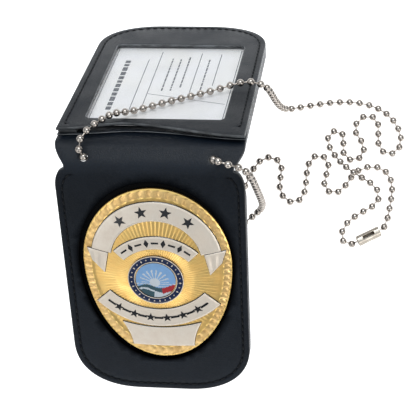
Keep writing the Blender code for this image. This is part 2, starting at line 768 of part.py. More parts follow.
def make_ribbons(crease):
    """Three silver ribbons and the blank plate, each following the badge's dome."""
    top = arc_patch(BADGE_SIDE_SHIFT, TOP_RIBBON_CENTRE, TOP_RIBBON_INNER, TOP_RIBBON_OUTER,
                    TOP_RIBBON_SWEEP, -1, TOP_STRETCH)
    applied_piece("badge_ribbon_top", 20, 3, top, crease, SILVER)
    applied_piece("badge_tail_left", 4, 4, tail_patch(-1), crease, SILVER)
    applied_piece("badge_tail_right", 4, 4, tail_patch(1), crease, SILVER)
    title = arc_patch(BADGE_SIDE_SHIFT, TITLE_RIBBON_CENTRE, TITLE_RIBBON_INNER, TITLE_RIBBON_OUTER,
                      TITLE_RIBBON_SWEEP, -1, TITLE_STRETCH)
    applied_piece("badge_ribbon_title", 14, 2, title, crease, SILVER)
    lower = arc_patch(SEAL_SIDE_SHIFT, LOWER_RIBBON_CENTRE, LOWER_RIBBON_INNER, LOWER_RIBBON_OUTER,
                      LOWER_RIBBON_SWEEP, 1, LOWER_STRETCH)
    applied_piece("badge_ribbon_lower", 18, 3, lower, crease, SILVER)

    def plate(along, across):
        scroll = PLATE_SCROLL * (1 - across) ** 2
        left = -PLATE_LEFT - scroll
        right = PLATE_RIGHT + scroll
        u = left + (right - left) * along
        droop = PLATE_ARCH * ((u - SEAL_SIDE_SHIFT) / (PLATE_RIGHT + PLATE_SCROLL)) ** 2
        near = LOWER_RIBBON_CENTRE + LOWER_RIBBON_OUTER + SEAT_GAP + APPLIED_THICKNESS - droop
        return u, near + (PLATE_LOW_EDGE - near) * across
    applied_piece("badge_number_plate", 12, 4, plate, crease, SILVER)


def make_seal(crease):
    """The enamelled seal: a ring with a disc inside it."""
    for name, inner, outer, spec in (
            ("badge_seal_ring", SEAL_RING_INNER, SEAL_RING_OUTER, BLUE_ENAMEL),
            ("badge_seal_disc", 0, SEAL_RING_INNER - SEAT_GAP, SEAL_ENAMEL)):
        mesh = bpy.data.meshes.new(name)
        form = bmesh.new()
        profile = [form.verts.new((inner + (outer - inner) * step / 2, 0, 0)) for step in range(3)]
        edges = [form.edges.new(pair) for pair in zip(profile, profile[1:])]
        bmesh.ops.spin(form, geom=profile + edges, axis=(0, 0, 1), cent=(0, 0, 0),
                       angle=2 * math.pi, steps=ROUND_STEPS * 2, use_merge=True)
        bmesh.ops.remove_doubles(form, verts=form.verts, dist=SEAT_GAP / 10)
        for vert in form.verts:
            u = SEAL_SIDE_SHIFT + vert.co.x
            v = SEAL_CENTRE - vert.co.y
            vert.co = (u, -v, dome_height(u, v) + SEAT_GAP)
        for face in form.faces:
            face.normal_update()
            if face.normal.z < 0:
                face.normal_flip()
        form.to_mesh(mesh)
        form.free()
        piece = add_object(name, mesh, crease, spec)
        solidify(piece, APPLIED_THICKNESS, 1)


def make_pin(crease):
    """The pin across the badge's back, its two blocks, the catch's sleeve and the leather loop."""
    outer_u = BADGE_SIDE_SHIFT + PIN_HALF_SPAN + BLOCK_LENGTH / 2
    block_top = dome_height(outer_u, PIN_LINE + BLOCK_WIDTH / 2) - BADGE_WALL - SEAT_GAP
    pin_height = (block_top + BADGE_LOW) / 2
    along_crease = (0, math.pi / 2, 0)
    for name, side in (("pin_hinge_block", -1), ("pin_catch", 1)):
        mesh = box_mesh(name, (BLOCK_LENGTH, BLOCK_WIDTH, block_top - BADGE_LOW))
        place = (BADGE_SIDE_SHIFT + side * PIN_HALF_SPAN, -PIN_LINE, pin_height)
        block = add_object(name, mesh, crease, SILVER, location=place)
        bore = rod_mesh(name + "_bore", PIN_RADIUS + PIN_FIT, BLOCK_LENGTH + OVERRUN)
        cutter(name + "_bore", bore, block, location=place, rotation=along_crease)
    stem = rod_mesh("pin_stem", PIN_RADIUS, 2 * PIN_HALF_SPAN + BLOCK_LENGTH)
    smooth(stem)
    middle = (BADGE_SIDE_SHIFT, -PIN_LINE, pin_height)
    add_object("pin_stem", stem, crease, NICKEL, location=middle, rotation=along_crease)
    make_sleeve(crease, pin_height)
    make_pin_loop(crease, pin_height + PIN_RADIUS + SEAT_GAP)


def make_sleeve(crease, height):
    """Split sleeve that turns round the pin's point and locks it beside the catch block."""
    inner = PIN_RADIUS + PIN_FIT
    outer = inner + SLEEVE_WALL
    points = []
    for radius, order in ((outer, 1), (inner, -1)):
        for step in range(ROUND_STEPS + 1)[::order]:
            turn = SLEEVE_MOUTH / 2 + (2 * math.pi - SLEEVE_MOUTH) * step / ROUND_STEPS
            points.append((radius * math.cos(turn), radius * math.sin(turn)))
    mesh = slab_mesh("catch_sleeve", [points], SLEEVE_LENGTH)
    across = BADGE_SIDE_SHIFT + PIN_HALF_SPAN - BLOCK_LENGTH / 2 - SEAT_GAP - SLEEVE_LENGTH / 2
    add_object("catch_sleeve", mesh, crease, SILVER, location=(across, -PIN_LINE, height),
               rotation=(math.pi / 2, 0, math.pi / 2))


def make_pin_loop(crease, underside):
    """Leather bridge on the recess floor, with a glued foot at each end, that the pin threads."""
    bridge = LOOP_BRIDGE / 2
    knee = bridge + LOOP_RISE_RUN
    end = knee + LOOP_FOOT
    lean = LOOP_THICKNESS * 3 / 4
    foot_top = BADGE_LOW + LOOP_THICKNESS
    top = underside + LOOP_THICKNESS
    right = [(end, BADGE_LOW), (end, foot_top), (knee, foot_top), (bridge, top)]
    under = [(bridge - lean, underside), (knee - lean, BADGE_LOW)]
    outline = right + mirrored(right) + [(-knee + lean, BADGE_LOW), (-bridge + lean, underside)] + under
    mesh = slab_mesh("pin_loop", [outline], LOOP_WIDTH)
    add_object("pin_loop", mesh, crease, LEATHER, location=(BADGE_SIDE_SHIFT, -PIN_LINE, 0),
               rotation=(math.pi / 2, 0, math.pi / 2))


# The ID flap

def make_flap(crease):
    """The flap's plies from its back outwards, with the card and the window's film."""
    layer("flap_back", [flap_outline(STRAP_START)], -STRAP_FACE, STRAP_THICKNESS, crease, 1, LEATHER)
    liner_mouth = mouth_edge(LINER_MOUTH_LEFT, LINER_MOUTH_RIGHT, LINER_MOUTH_RISE, LINER_MOUTH_PEAK)
    layer("flap_liner", [pocket_outline(liner_mouth)], LINER_LOW, LINER_THICKNESS, crease, 1, LEATHER)
    inner = [(-WELT_INNER_HALF, WELT_START), (-WELT_INNER_HALF, POCKET_END),
             (WELT_INNER_HALF, POCKET_END), (WELT_INNER_HALF, WELT_START)]
    welt = flap_outline(WELT_START) + inner
    layer("pocket_welt", [welt], CARD_LOW, WELT_THICKNESS, crease, 1, LINING)
    card = round_rectangle(CARD_HALF_WIDTH, CARD_START, CARD_END, CARD_CORNER)
    layer("id_card", [card], CARD_LOW, CARD_THICKNESS, crease, 1, CARD_STOCK)
    film = round_rectangle(WINDOW_HALF_WIDTH + FILM_LAP, WINDOW_NEAR - FILM_LAP,
                           WINDOW_FAR + FILM_LAP, WINDOW_CORNER)
    layer("window_film", [film], FILM_LOW, FILM_THICKNESS, crease, 1, CLEAR_FILM)
    mouth = mouth_edge(FRAME_MOUTH_LEFT, FRAME_MOUTH_RIGHT, FRAME_MOUTH_RISE, FRAME_MOUTH_PEAK)
    window = round_rectangle(WINDOW_HALF_WIDTH, WINDOW_NEAR, WINDOW_FAR, WINDOW_CORNER)
    layer("flap_frame", [pocket_outline(mouth), window], FRAME_LOW, FRAME_THICKNESS, crease, 1, LEATHER)


# Stitching

def seam(name, path, base, crease, side):
    """One running thread along a path given as (across, down) points, lying on the leather."""
    curve = bpy.data.curves.new(name, "CURVE")
    curve.dimensions = "3D"
    curve.bevel_depth = THREAD_DIAMETER / 2
    curve.bevel_resolution = 1
    curve.use_fill_caps = True
    spline = curve.splines.new("POLY")
    spline.points.add(len(path) - 1)
    for point, (across, down) in zip(spline.points, path):
        point.co = (across, side * down, base + THREAD_DIAMETER / 2, 1)
    curve.materials.append(material(THREAD))
    thread = bpy.data.objects.new(name, curve)
    thread.parent = crease
    parts.objects.link(thread)


def make_stitching(badge_crease, flap_crease):
    """The thread round the badge panel, and down the flap's sides and across its far end."""
    round_panel = badge_panel_outline(STRAP_START + STITCH_INSET, STITCH_INSET)
    seam("badge_panel_stitching", round_panel, STRAP_FACE + SEAT_GAP, badge_crease, -1)
    round_flap = flap_outline(FLAP_STITCH_START, STITCH_INSET)[1:-1]
    seam("flap_stitching", round_flap, FRAME_TOP + SEAT_GAP, flap_crease, 1)


# The chain

def smooth_route(points):
    """Reads a smooth curve through the run of hand-chosen points, CHAIN_SAMPLES to each span.

    It is a cubic B-spline, so it eases round the points and starts and ends on the outer ones.
    """
    route = [Vector(point) for point in points]
    route = [2 * route[0] - route[1]] + route + [2 * route[-1] - route[-2]]
    samples = []
    for a, b, c, d in zip(route, route[1:], route[2:], route[3:]):
        for step in range(CHAIN_SAMPLES):
            t = step / CHAIN_SAMPLES
            samples.append(((1 - t) ** 3 * a + (3 * t ** 3 - 6 * t ** 2 + 4) * b
                            + (1 + 3 * t + 3 * t ** 2 - 3 * t ** 3) * c + t ** 3 * d) / 6)
    samples.append(route[-2])
    return samples


def thin_out(samples):
    """Keeps a straight lead at each end and as many points between as length and turning ask for."""
    lead = first_beyond(samples)
    tail = len(samples) - 1 - first_beyond(samples[::-1])
    kept = [samples[0], samples[lead]]
    due = 0
    for index in range(lead + 1, tail):
        before, here, after = samples[index - 1:index + 2]
        due += (here - before).length / CHAIN_LONGEST_STEP
        due += (here - before).angle(after - here) / CHAIN_TURN_STEP
        if due >= 1:
            kept.append(here)
            due = 0
    if (kept[-1] - samples[tail]).length < CHAIN_RADIUS and len(kept) > 2:
        kept.pop()
    return kept + [samples[tail], samples[-1]]


def first_beyond(samples):
    """Index of the first sample past a short lead from the first one."""
    lead = CHAIN_RADIUS * CHAIN_LEAD_SHARE
    return next(i for i, sample in enumerate(samples) if (sample - samples[0]).length > lead)


def trimmed(points, start, end):
    """Draws the two end points in along the route."""
    points = [point.copy() for point in points]
    points[0] += (points[1] - points[0]).normalized() * start
    points[-1] += (points[-2] - points[-1]).normalized() * end
    return points


def chain_tube(name, points):
    """One stretch of the chain as a tube along its points."""
    curve = bpy.data.curves.new(name, "CURVE")
    curve.dimensions = "3D"
    curve.bevel_depth = CHAIN_RADIUS
    curve.bevel_resolution = 2
    curve.use_fill_caps = True
    spline = curve.splines.new("POLY")
    spline.points.add(len(points) - 1)
    for point, place in zip(spline.points, points):
        point.co = (*place, 1)
    curve.materials.append(material(NICKEL))
    parts.objects.link(bpy.data.objects.new(name, curve))


def make_chain_side(stretches):
    """Builds one side's stretches on one smooth curve, parted where one stretch meets the next."""
    points = list(stretches[0][1])
    for _, stretch in stretches[1:]:
        points += stretch[1:]
    samples = smooth_route(points)
    first = 0
    for index, (name, stretch) in enumerate(stretches):
        last = first + (len(stretch) - 1) * CHAIN_SAMPLES
        run = thin_out(samples[first:last + 1])
        at_connector = index == len(stretches) - 1
        chain_tube(name, trimmed(run, SEAT_GAP / 2, 0 if at_connector else SEAT_GAP / 2))
        first = last


def make_inner_run():
    """The chain between the two holes, below the spine's leather."""
    points = [(-x, y, z) for x, y, z in INNER_RUN_ROUTE] + list(reversed(INNER_RUN_ROUTE[:-1]))
    run = thin_out(smooth_route(points))
    chain_tube("chain_inner_run", trimmed(run, SEAT_GAP / 2, SEAT_GAP / 2))


def make_connector():
    """The barrel that joins the chain's two ends, open at both ends and along one side."""
    radius = CONNECTOR_DIAMETER / 2
    turned = (0, math.pi / 2, CONNECTOR_TURN)
    mesh = rod_mesh("chain_connector", radius, CONNECTOR_LENGTH)
    smooth(mesh)
    barrel = add_object("chain_connector", mesh, None, NICKEL, CONNECTOR_PLACE, turned)
    bore = rod_mesh("connector_bore", radius - CONNECTOR_WALL, CONNECTOR_LENGTH + OVERRUN)
    cutter("connector_bore", bore, barrel, location=CONNECTOR_PLACE, rotation=turned)
    slot = box_mesh("connector_slot", (CONNECTOR_SLOT_WIDTH, CONNECTOR_SLOT_LENGTH, radius))
    slot_place = Vector(CONNECTOR_PLACE) + Vector((0, 0, radius))
    cutter("connector_slot", slot, barrel, location=slot_place,
           rotation=(0, 0, CONNECTOR_TURN + math.pi / 2))
    bevel(barrel, CONNECTOR_EDGE, 1)


clear_scene()
parts = new_collection("neck_badge_holder")
cutters = new_collection("cutters")
guides = new_collection("crease_guides")

badge_panel_fold = crease_empty("badge_panel_fold", RIDGE_Y - SPINE_WIDTH / 2, TENT_SLOPE)
id_flap_fold = crease_empty("id_flap_fold", RIDGE_Y + SPINE_WIDTH / 2, -FLAP_SLOPE)

make_spine()
make_badge_panel(badge_panel_fold)
make_badge(badge_panel_fold)
make_ribbons(badge_panel_fold)
make_seal(badge_panel_fold)
make_pin(badge_panel_fold)
make_flap(id_flap_fold)
make_stitching(badge_panel_fold, id_flap_fold)
make_inner_run()
make_chain_side((("chain_over_flap", OVER_FLAP_ROUTE), ("chain_left_drop", LEFT_DROP_ROUTE),
                 ("chain_table_left", TABLE_LEFT_ROUTE)))
make_chain_side((("chain_right_drop", RIGHT_DROP_ROUTE), ("chain_under_turn", UNDER_TURN_ROUTE),
                 ("chain_table_right", TABLE_RIGHT_ROUTE)))
make_connector()
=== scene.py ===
"""Neck badge holder: a folded leather strap that stands as a small tent, with its bead chain.

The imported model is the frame, with X along the ridge and Z up from the floor. Every length is in
metres, apart from the points handed to route(), which are in millimetres. Each panel is built in its
own coordinates: u across, v down from its crease, h out of its face.
"""
import logging
import math
import random
from collections.abc import Callable, Sequence
from dataclasses import dataclass, field
from enum import Enum
from functools import cache, partial

import bmesh
import bpy
import numpy as np
from mathutils import Matrix, Vector
from mathutils.geometry import delaunay_2d_cdt


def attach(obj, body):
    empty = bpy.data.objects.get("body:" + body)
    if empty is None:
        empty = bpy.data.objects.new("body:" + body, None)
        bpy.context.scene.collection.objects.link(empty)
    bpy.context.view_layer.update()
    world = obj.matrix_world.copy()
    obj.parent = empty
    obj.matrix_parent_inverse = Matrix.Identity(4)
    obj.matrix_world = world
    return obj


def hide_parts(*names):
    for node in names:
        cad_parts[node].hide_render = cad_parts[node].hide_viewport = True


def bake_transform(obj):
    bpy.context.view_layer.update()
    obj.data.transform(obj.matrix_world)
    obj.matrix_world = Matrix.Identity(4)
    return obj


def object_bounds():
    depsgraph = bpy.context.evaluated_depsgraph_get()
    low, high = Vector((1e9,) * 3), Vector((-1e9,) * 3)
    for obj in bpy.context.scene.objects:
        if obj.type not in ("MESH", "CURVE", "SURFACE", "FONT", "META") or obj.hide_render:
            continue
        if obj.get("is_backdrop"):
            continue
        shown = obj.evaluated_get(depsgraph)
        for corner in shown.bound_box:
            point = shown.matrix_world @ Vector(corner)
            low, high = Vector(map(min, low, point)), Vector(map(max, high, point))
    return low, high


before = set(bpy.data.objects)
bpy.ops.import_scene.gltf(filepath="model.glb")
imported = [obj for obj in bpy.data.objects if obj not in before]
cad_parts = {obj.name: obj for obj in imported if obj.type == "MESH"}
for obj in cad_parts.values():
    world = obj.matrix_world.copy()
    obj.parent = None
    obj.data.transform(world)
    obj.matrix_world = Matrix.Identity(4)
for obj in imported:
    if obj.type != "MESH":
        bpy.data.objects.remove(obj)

CAD_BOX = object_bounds()
LOG = logging.getLogger("neck_badge_holder")

Pair = tuple[float, float]
Triple = tuple[float, float, float]
Colour = tuple[float, float, float, float]
Face = tuple[int, ...]
Place = Callable[[float, float], Pair]

MM = 0.001

SPAN_SAMPLES = 12
TABLE_REST = 1.65


def route(*points: tuple[float, ...]) -> tuple[Triple, ...]:
    """Returns points given in millimetres in metres; those without a height lie on the table."""
    return tuple((x * MM, y * MM, (*height, TABLE_REST)[0] * MM) for x, y, *height in points)


# The chain's route, as in the CAD source: out of each hole, past a panel, down, along the table
INNER_RUN_ROUTE = route(
    (24.9, -3.84, 77.7), (24.9, -3.84, 76), (23.6, -3.84, 74.12), (21, -3.84, 72.82),
    (16, -3.84, 72.52), (8, -3.84, 72.52), (0, -3.84, 72.52),
)
OVER_FLAP_ROUTE = route(
    (-24.9, -3.8, 77.7), (-25.1, -3.7, 79.4), (-26.1, -2.4, 80.8), (-26.3, -0.1, 81.9),
    (-25.4, 2.9, 82.5), (-22.9, 6.2, 81.7), (-20.2, 9.6, 79.6), (-17.6, 12.6, 77),
    (-15.2, 15.5, 73.459), (-12.2, 16.8, 70.254), (-8.6, 18.7, 66.826), (-3.4, 21.5, 63.701),
    (3, 24.9, 60.248), (9.8, 27.9, 57.083), (16.6, 31, 53.952), (21.6, 33.1, 52.36),
    (26.2, 34.9, 52.186), (31, 36.5, 51.735), (35.4, 36.8, 51.589), (38.6, 35.7, 51.537),
    (40.7, 35.5, 47.8), (41.3, 36, 41),
)
LEFT_DROP_ROUTE = route(
    (41.3, 36, 41), (41.7, 37.2, 30), (42.5, 38.7, 17), (43.6, 40.6, 7.6), (46, 42.2, 2.8),
    (49.4, 43.3),
)
TABLE_LEFT_ROUTE = route(
    (49.4, 43.3), (56.5, 44.7), (64.8, 46), (72.8, 46.2), (80.6, 44.8), (87.4, 41), (91.8, 35),
    (93.2, 29.2), (91.8, 24.8), (88, 22.8), (84.3, 24.8), (82.9, 29.2), (83.4, 33.6), (83.1, 37.4),
    (80.6, 40.2), (77.1, 40.2), (74.2, 37.8), (73.1, 34.5), (74.2, 31.2), (76.8, 28.6), (77.8, 25),
    (76.4, 21.4), (72.8, 19.9), (69.4, 21.8), (68.4, 25.4), (69, 28.8), (68.7, 32), (65.6, 33.8),
    (62.3, 32), (61.8, 28.2), (63.8, 24.4), (66.5, 20.8, 2), (69.4, 17.4, 4), (72.8, 14.4, 6),
    (76.4, 12.4, 4.3), (79.9, 11.2, 2.1), (83, 9), (84.6, 5.8), (84, 2.4), (81.2, 0), (77.8, -1.8),
    (74.2, -4.2), (71, -7.2), (69.2, -11), (69.8, -14.8), (72.6, -16.5), (75.5, -15.1, 2.1),
    (77.6, -14, 2.25),
)
RIGHT_DROP_ROUTE = route(
    (24.9, -3.8, 77.7), (25.1, -4, 79.2), (26.3, -5, 80.4), (28.9, -6.1, 80.9), (32.4, -6.9, 80.7),
    (35.6, -7.4, 79.1), (37.6, -7.9, 76), (38.6, -8.3, 71.4), (39, -8.3, 62.5), (39, -7.5, 46.5),
    (38.6, -5.6, 26.5), (37.4, -4.2, 14), (35.4, -4.1, 7.4), (32.4, -5.4, 3.4),
)
UNDER_TURN_ROUTE = route(
    (32.4, -5.4, 3.4), (29.2, -7.8, 1.8), (25.6, -9), (22.2, -7.4), (20.8, -3.6), (21.8, 0.6),
    (24.9, 4), (27.9, 7.2), (29.8, 11.4), (31.3, 16.2), (34.1, 19.8), (37.9, 21.4), (40.3, 20.8),
    (42.8, 18.7), (43.5, 15.4), (42.9, 12),
)
TABLE_RIGHT_ROUTE = route(
    (42.9, 12), (42.6, 8.6), (43.5, 5), (46, 2), (49.7, 1.2), (52.7, 3.4), (53.7, 7.2),
    (53.8, 11.2), (53.9, 15.4), (54.6, 19.5), (57.1, 22.5), (60.8, 22.2), (63, 19.2), (62.9, 15.6),
    (61.5, 12.4), (61.2, 8.8), (63.7, 5.8), (67.5, 6), (70.3, 9), (72.2, 12.6), (74.6, 15.6),
    (77.9, 17.4), (81.9, 18), (85.8, 17), (88.7, 13.8), (89.9, 9.4), (89.6, 4.6), (88.9, -0.2),
    (88.2, -4.6), (87.4, -7.8), (85.8, -9.6, 2.1), (83.8, -10.7, 2.25),
)

# Leather plies, as heights over the crease's axis, which runs mid-way through the strap
SEAT_GAP = 0.0003
STRAP_FACE = 0.0009
CORE_LOW, CORE_TOP = -0.0022, -0.0012
BACK_LOW, BACK_TOP = -0.0035, -0.0025
LINER_LOW, LINER_TOP = 0.0012, 0.0016
WELT_LOW, WELT_TOP = 0.0019, 0.00321
CARD_TOP = 0.00266
FRAME_LOW, FRAME_TOP = 0.00351, 0.00471
THREAD_SINK = 0.0001

# The badge's egg shape on its panel, the wider cut-out round it, the dome of its face and its seal
BADGE_MIDDLE = (0.0009, 0.0425)
BADGE_HALF, BADGE_ABOVE, BADGE_BELOW = 0.0293, 0.0330, 0.0446
CUTOUT_MIDDLE = (0.0005, 0.0425)
CUTOUT_HALF, CUTOUT_ABOVE = BADGE_HALF + 0.0012, BADGE_ABOVE + 0.0027
CUTOUT_BELOW = BADGE_BELOW + 0.0012
DOME_FOOT, DOME_RISE, DOME_POWER = 0.0001, 0.0030, 2.2
SEAL_CENTRE = (0.0003, 0.0487)


class Side(Enum):
    """Which way a panel leaves the ridge: towards the viewer or away."""

    NEAR = -1
    FAR = 1


@dataclass(frozen=True)
class Panel:
    """Coordinates of one slope of the tent, from its crease."""

    side: Side
    body: str
    slope: float
    ridge_y: float = -0.0022348
    ridge_z: float = 0.0765233
    spine_half: float = 0.0045
    bend_radius: float = 0.0026

    def crease(self, reach: float) -> Triple:
        """Returns the crease's middle, moved level away from the ridge by a distance."""
        middle = self.ridge_y + self.side.value * self.spine_half
        return 0.0, middle + self.side.value * reach, self.ridge_z

    def place_all(self, points: np.ndarray) -> np.ndarray:
        """Turns panel coordinates into points of the frame.

        Args:
            points: Rows of distance across, down from the crease and out of the panel's face.

        Returns:
            Rows of frame coordinates.
        """
        across, down, height = points.T
        run = down * math.cos(self.slope) + height * math.sin(self.slope)
        rise = height * math.cos(self.slope) - down * math.sin(self.slope)
        return np.stack([across, self.ridge_y + self.side.value * (self.spine_half + run),
                         self.ridge_z + rise], axis=1)

    def drape_all(self, points: np.ndarray) -> np.ndarray:
        """Bends an unrolled strap round the ridge, with negative distances down on the flat spine.

        Args:
            points: Rows of distance across, down and out of the strap.

        Returns:
            Rows of frame coordinates, with the sharp crease turned into a small arc.
        """
        across, down, height = points.T
        reach = self.bend_radius * math.tan(self.slope / 2)
        turn = np.clip((down + reach) / (2 * reach), 0, 1) * self.slope
        before = np.minimum(down + reach, 0)
        after = np.maximum(down - reach, 0)
        run = self.spine_half - reach + before + (self.bend_radius + height) * np.sin(turn)
        run = run + after * math.cos(self.slope)
        rise = (self.bend_radius + height) * np.cos(turn) - self.bend_radius
        rise = rise - after * math.sin(self.slope)
        return np.stack([across, self.ridge_y + self.side.value * run, self.ridge_z + rise], axis=1)


NEAR_PANEL = Panel(Side.NEAR, "badge_panel", math.radians(46.0))
FAR_PANEL = Panel(Side.FAR, "id_flap", math.radians(46.006))


def shifted(faces: Sequence[Face], first: int) -> list[Face]:
    """Returns faces whose points are counted from another first point."""
    return [tuple(index + first for index in face) for face in faces]


class MeshDraft:
    """Gathers points and faces of one piece, and turns them into an object."""

    def __init__(self) -> None:
        """Starts an empty draft."""
        self.points: list[np.ndarray] = []
        self.faces: list[Face] = []
        self.finishes: list[int] = []
        self.rims: list[np.ndarray] = []
        self.count = 0

    def add(self, points: np.ndarray, faces: Sequence[Face], rim: np.ndarray | None = None,
            finish: int = 0) -> None:
        """Adds points and the faces between them.

        Args:
            points: Rows of coordinates.
            faces: Faces as indices into the added points.
            rim: How much each point belongs to an edge rim, up to 1, which the finish pales, or to a
                seam's groove, down to -1, which the leather paints in shade.
            finish: Index of the faces' material.
        """
        self.points.append(points)
        self.rims.append(np.zeros(len(points)) if rim is None else rim)
        self.faces.extend(shifted(faces, self.count))
        self.finishes.extend([finish] * len(faces))
        self.count += len(points)

    def build(self, name: str, materials: Sequence[bpy.types.Material], sharp: float = 38.0,
              weld: float = 0.0) -> bpy.types.Object:
        """Makes the object.

        Args:
            name: The piece's name.
            materials: Its materials, in the order of the faces' finish numbers.
            sharp: Angle in degrees over which an edge shows as a crease in the shading.
            weld: Distance under which points are joined, or 0 to join none.

        Returns:
            The new object, linked to the scene.
        """
        mesh = bpy.data.meshes.new(name)
        mesh.from_pydata(np.concatenate(self.points).tolist(), [], self.faces)
        mesh.polygons.foreach_set("material_index", self.finishes)
        rim = mesh.attributes.new("rim", "FLOAT", "POINT")
        rim.data.foreach_set("value", np.concatenate(self.rims).astype(np.float32))
        form = bmesh.new()
        form.from_mesh(mesh)
        if weld:
            bmesh.ops.remove_doubles(form, verts=form.verts, dist=weld)
        bmesh.ops.recalc_face_normals(form, faces=form.faces)
        form.to_mesh(mesh)
        form.free()
        mesh.shade_smooth()
        mesh.set_sharp_from_angle(angle=math.radians(sharp))
        piece = bpy.data.objects.new(name, mesh)
        for material in materials:
            mesh.materials.append(material)
        bpy.context.scene.collection.objects.link(piece)
        return piece


def grid_faces(columns: int, rows: int, wrap: bool = False) -> list[Face]:
    """Lists the quads of a grid of points that is stored row by row.

    Args:
        columns: Number of points in a row.
        rows: Number of rows.
        wrap: Whether each row closes on itself.

    Returns:
        Faces as indices of four points.
    """
    faces = []
    for row in range(rows - 1):
        for column in range(columns if wrap else columns - 1):
            a = row * columns + column
            b = row * columns + (column + 1) % columns
            faces.append((a, b, b + columns, a + columns))
    return faces


def tube_faces(sides: int, rings: int) -> list[Face]:
    """Lists the faces of a tube of rings, with a cap at each end.

    Args:
        sides: Number of points in a ring.
        rings: Number of rings.

    Returns:
        Faces as indices of the points.
    """
    last = (rings - 1) * sides
    caps = [tuple(reversed(range(sides))), tuple(range(last, last + sides))]
    return grid_faces(sides, rings, wrap=True) + caps


def turns_of(count: int) -> np.ndarray:
    """Returns evenly spaced angles over a full turn."""
    return np.arange(count) * 2 * math.pi / count


def ring_of(sides: int, first: np.ndarray, second: np.ndarray) -> np.ndarray:
    """Returns the points of a round ring in the plane of two directions of length 1."""
    turns = turns_of(sides)
    return np.outer(np.cos(turns), first) + np.outer(np.sin(turns), second)


def reach_along(line: np.ndarray) -> np.ndarray:
    """Returns how far along a line of points each one lies."""
    return np.concatenate([[0], np.cumsum(np.linalg.norm(np.diff(line, axis=0), axis=1))])


def lathe(draft: MeshDraft, centre: Vector, axis: Vector, profile: Sequence[Pair], sides: int
          ) -> None:
    """Adds a turned form.

    Args:
        draft: The draft that takes it.
        centre: Where the profile's zero stands.
        axis: Direction of the turning axis.
        profile: Pairs of distance along the axis and radius, from one end to the other.
        sides: Number of sides round the axis.
    """
    along = np.array(axis.normalized())
    side = np.array(axis.orthogonal().normalized())
    ring = ring_of(sides, side, np.cross(along, side))
    rows = [np.array(centre) + along * reach + ring * radius for reach, radius in profile]
    draft.add(np.concatenate(rows), tube_faces(sides, len(profile)))


def is_inside(points: np.ndarray, loops: Sequence[np.ndarray]) -> np.ndarray:
    """Tells which points lie in the material between closed outlines, by counting crossings.

    Args:
        points: Rows of two coordinates.
        loops: The closed outlines, holes among them.

    Returns:
        True for each point that lies in the material.
    """
    inside = np.zeros(len(points), bool)
    px, py = points[:, :1], points[:, 1:]
    for loop in loops:
        ax, ay = loop.T
        bx, by = np.roll(loop, -1, axis=0).T
        spans = (ay > py) != (by > py)
        slope = (bx - ax) / np.where(by == ay, 1e-12, by - ay)
        inside ^= (np.sum(spans & (px < ax + slope * (py - ay)), axis=1) % 2).astype(bool)
    return inside


def fix(piece: bpy.types.Object, body: str, slot: str, *nodes: str,
        bend: tuple[str, Triple, Triple] | None = None) -> bpy.types.Object:
    """Fixes a piece to a CAD body, or bakes its place into its points, and hides the CAD nodes it
    replaces.

    Args:
        piece: The piece.
        body: Name of the body that it moves with.
        slot: Not used.
        nodes: CAD nodes that it replaces.
        bend: A second body and where a bend would start and end; when given, the piece's place is
            baked into its points instead of being fixed to a body, and no bend is made.

    Returns:
        The piece.
    """
    if bend:
        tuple(bend[1])
        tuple(bend[2])
        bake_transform(piece)
    else:
        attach(piece, body)
    if nodes:
        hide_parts(*nodes)
    LOG.info("%s moves with %s and has %d faces", piece.name, body, len(piece.data.polygons))
    return piece


# Shader groups that several finishes share

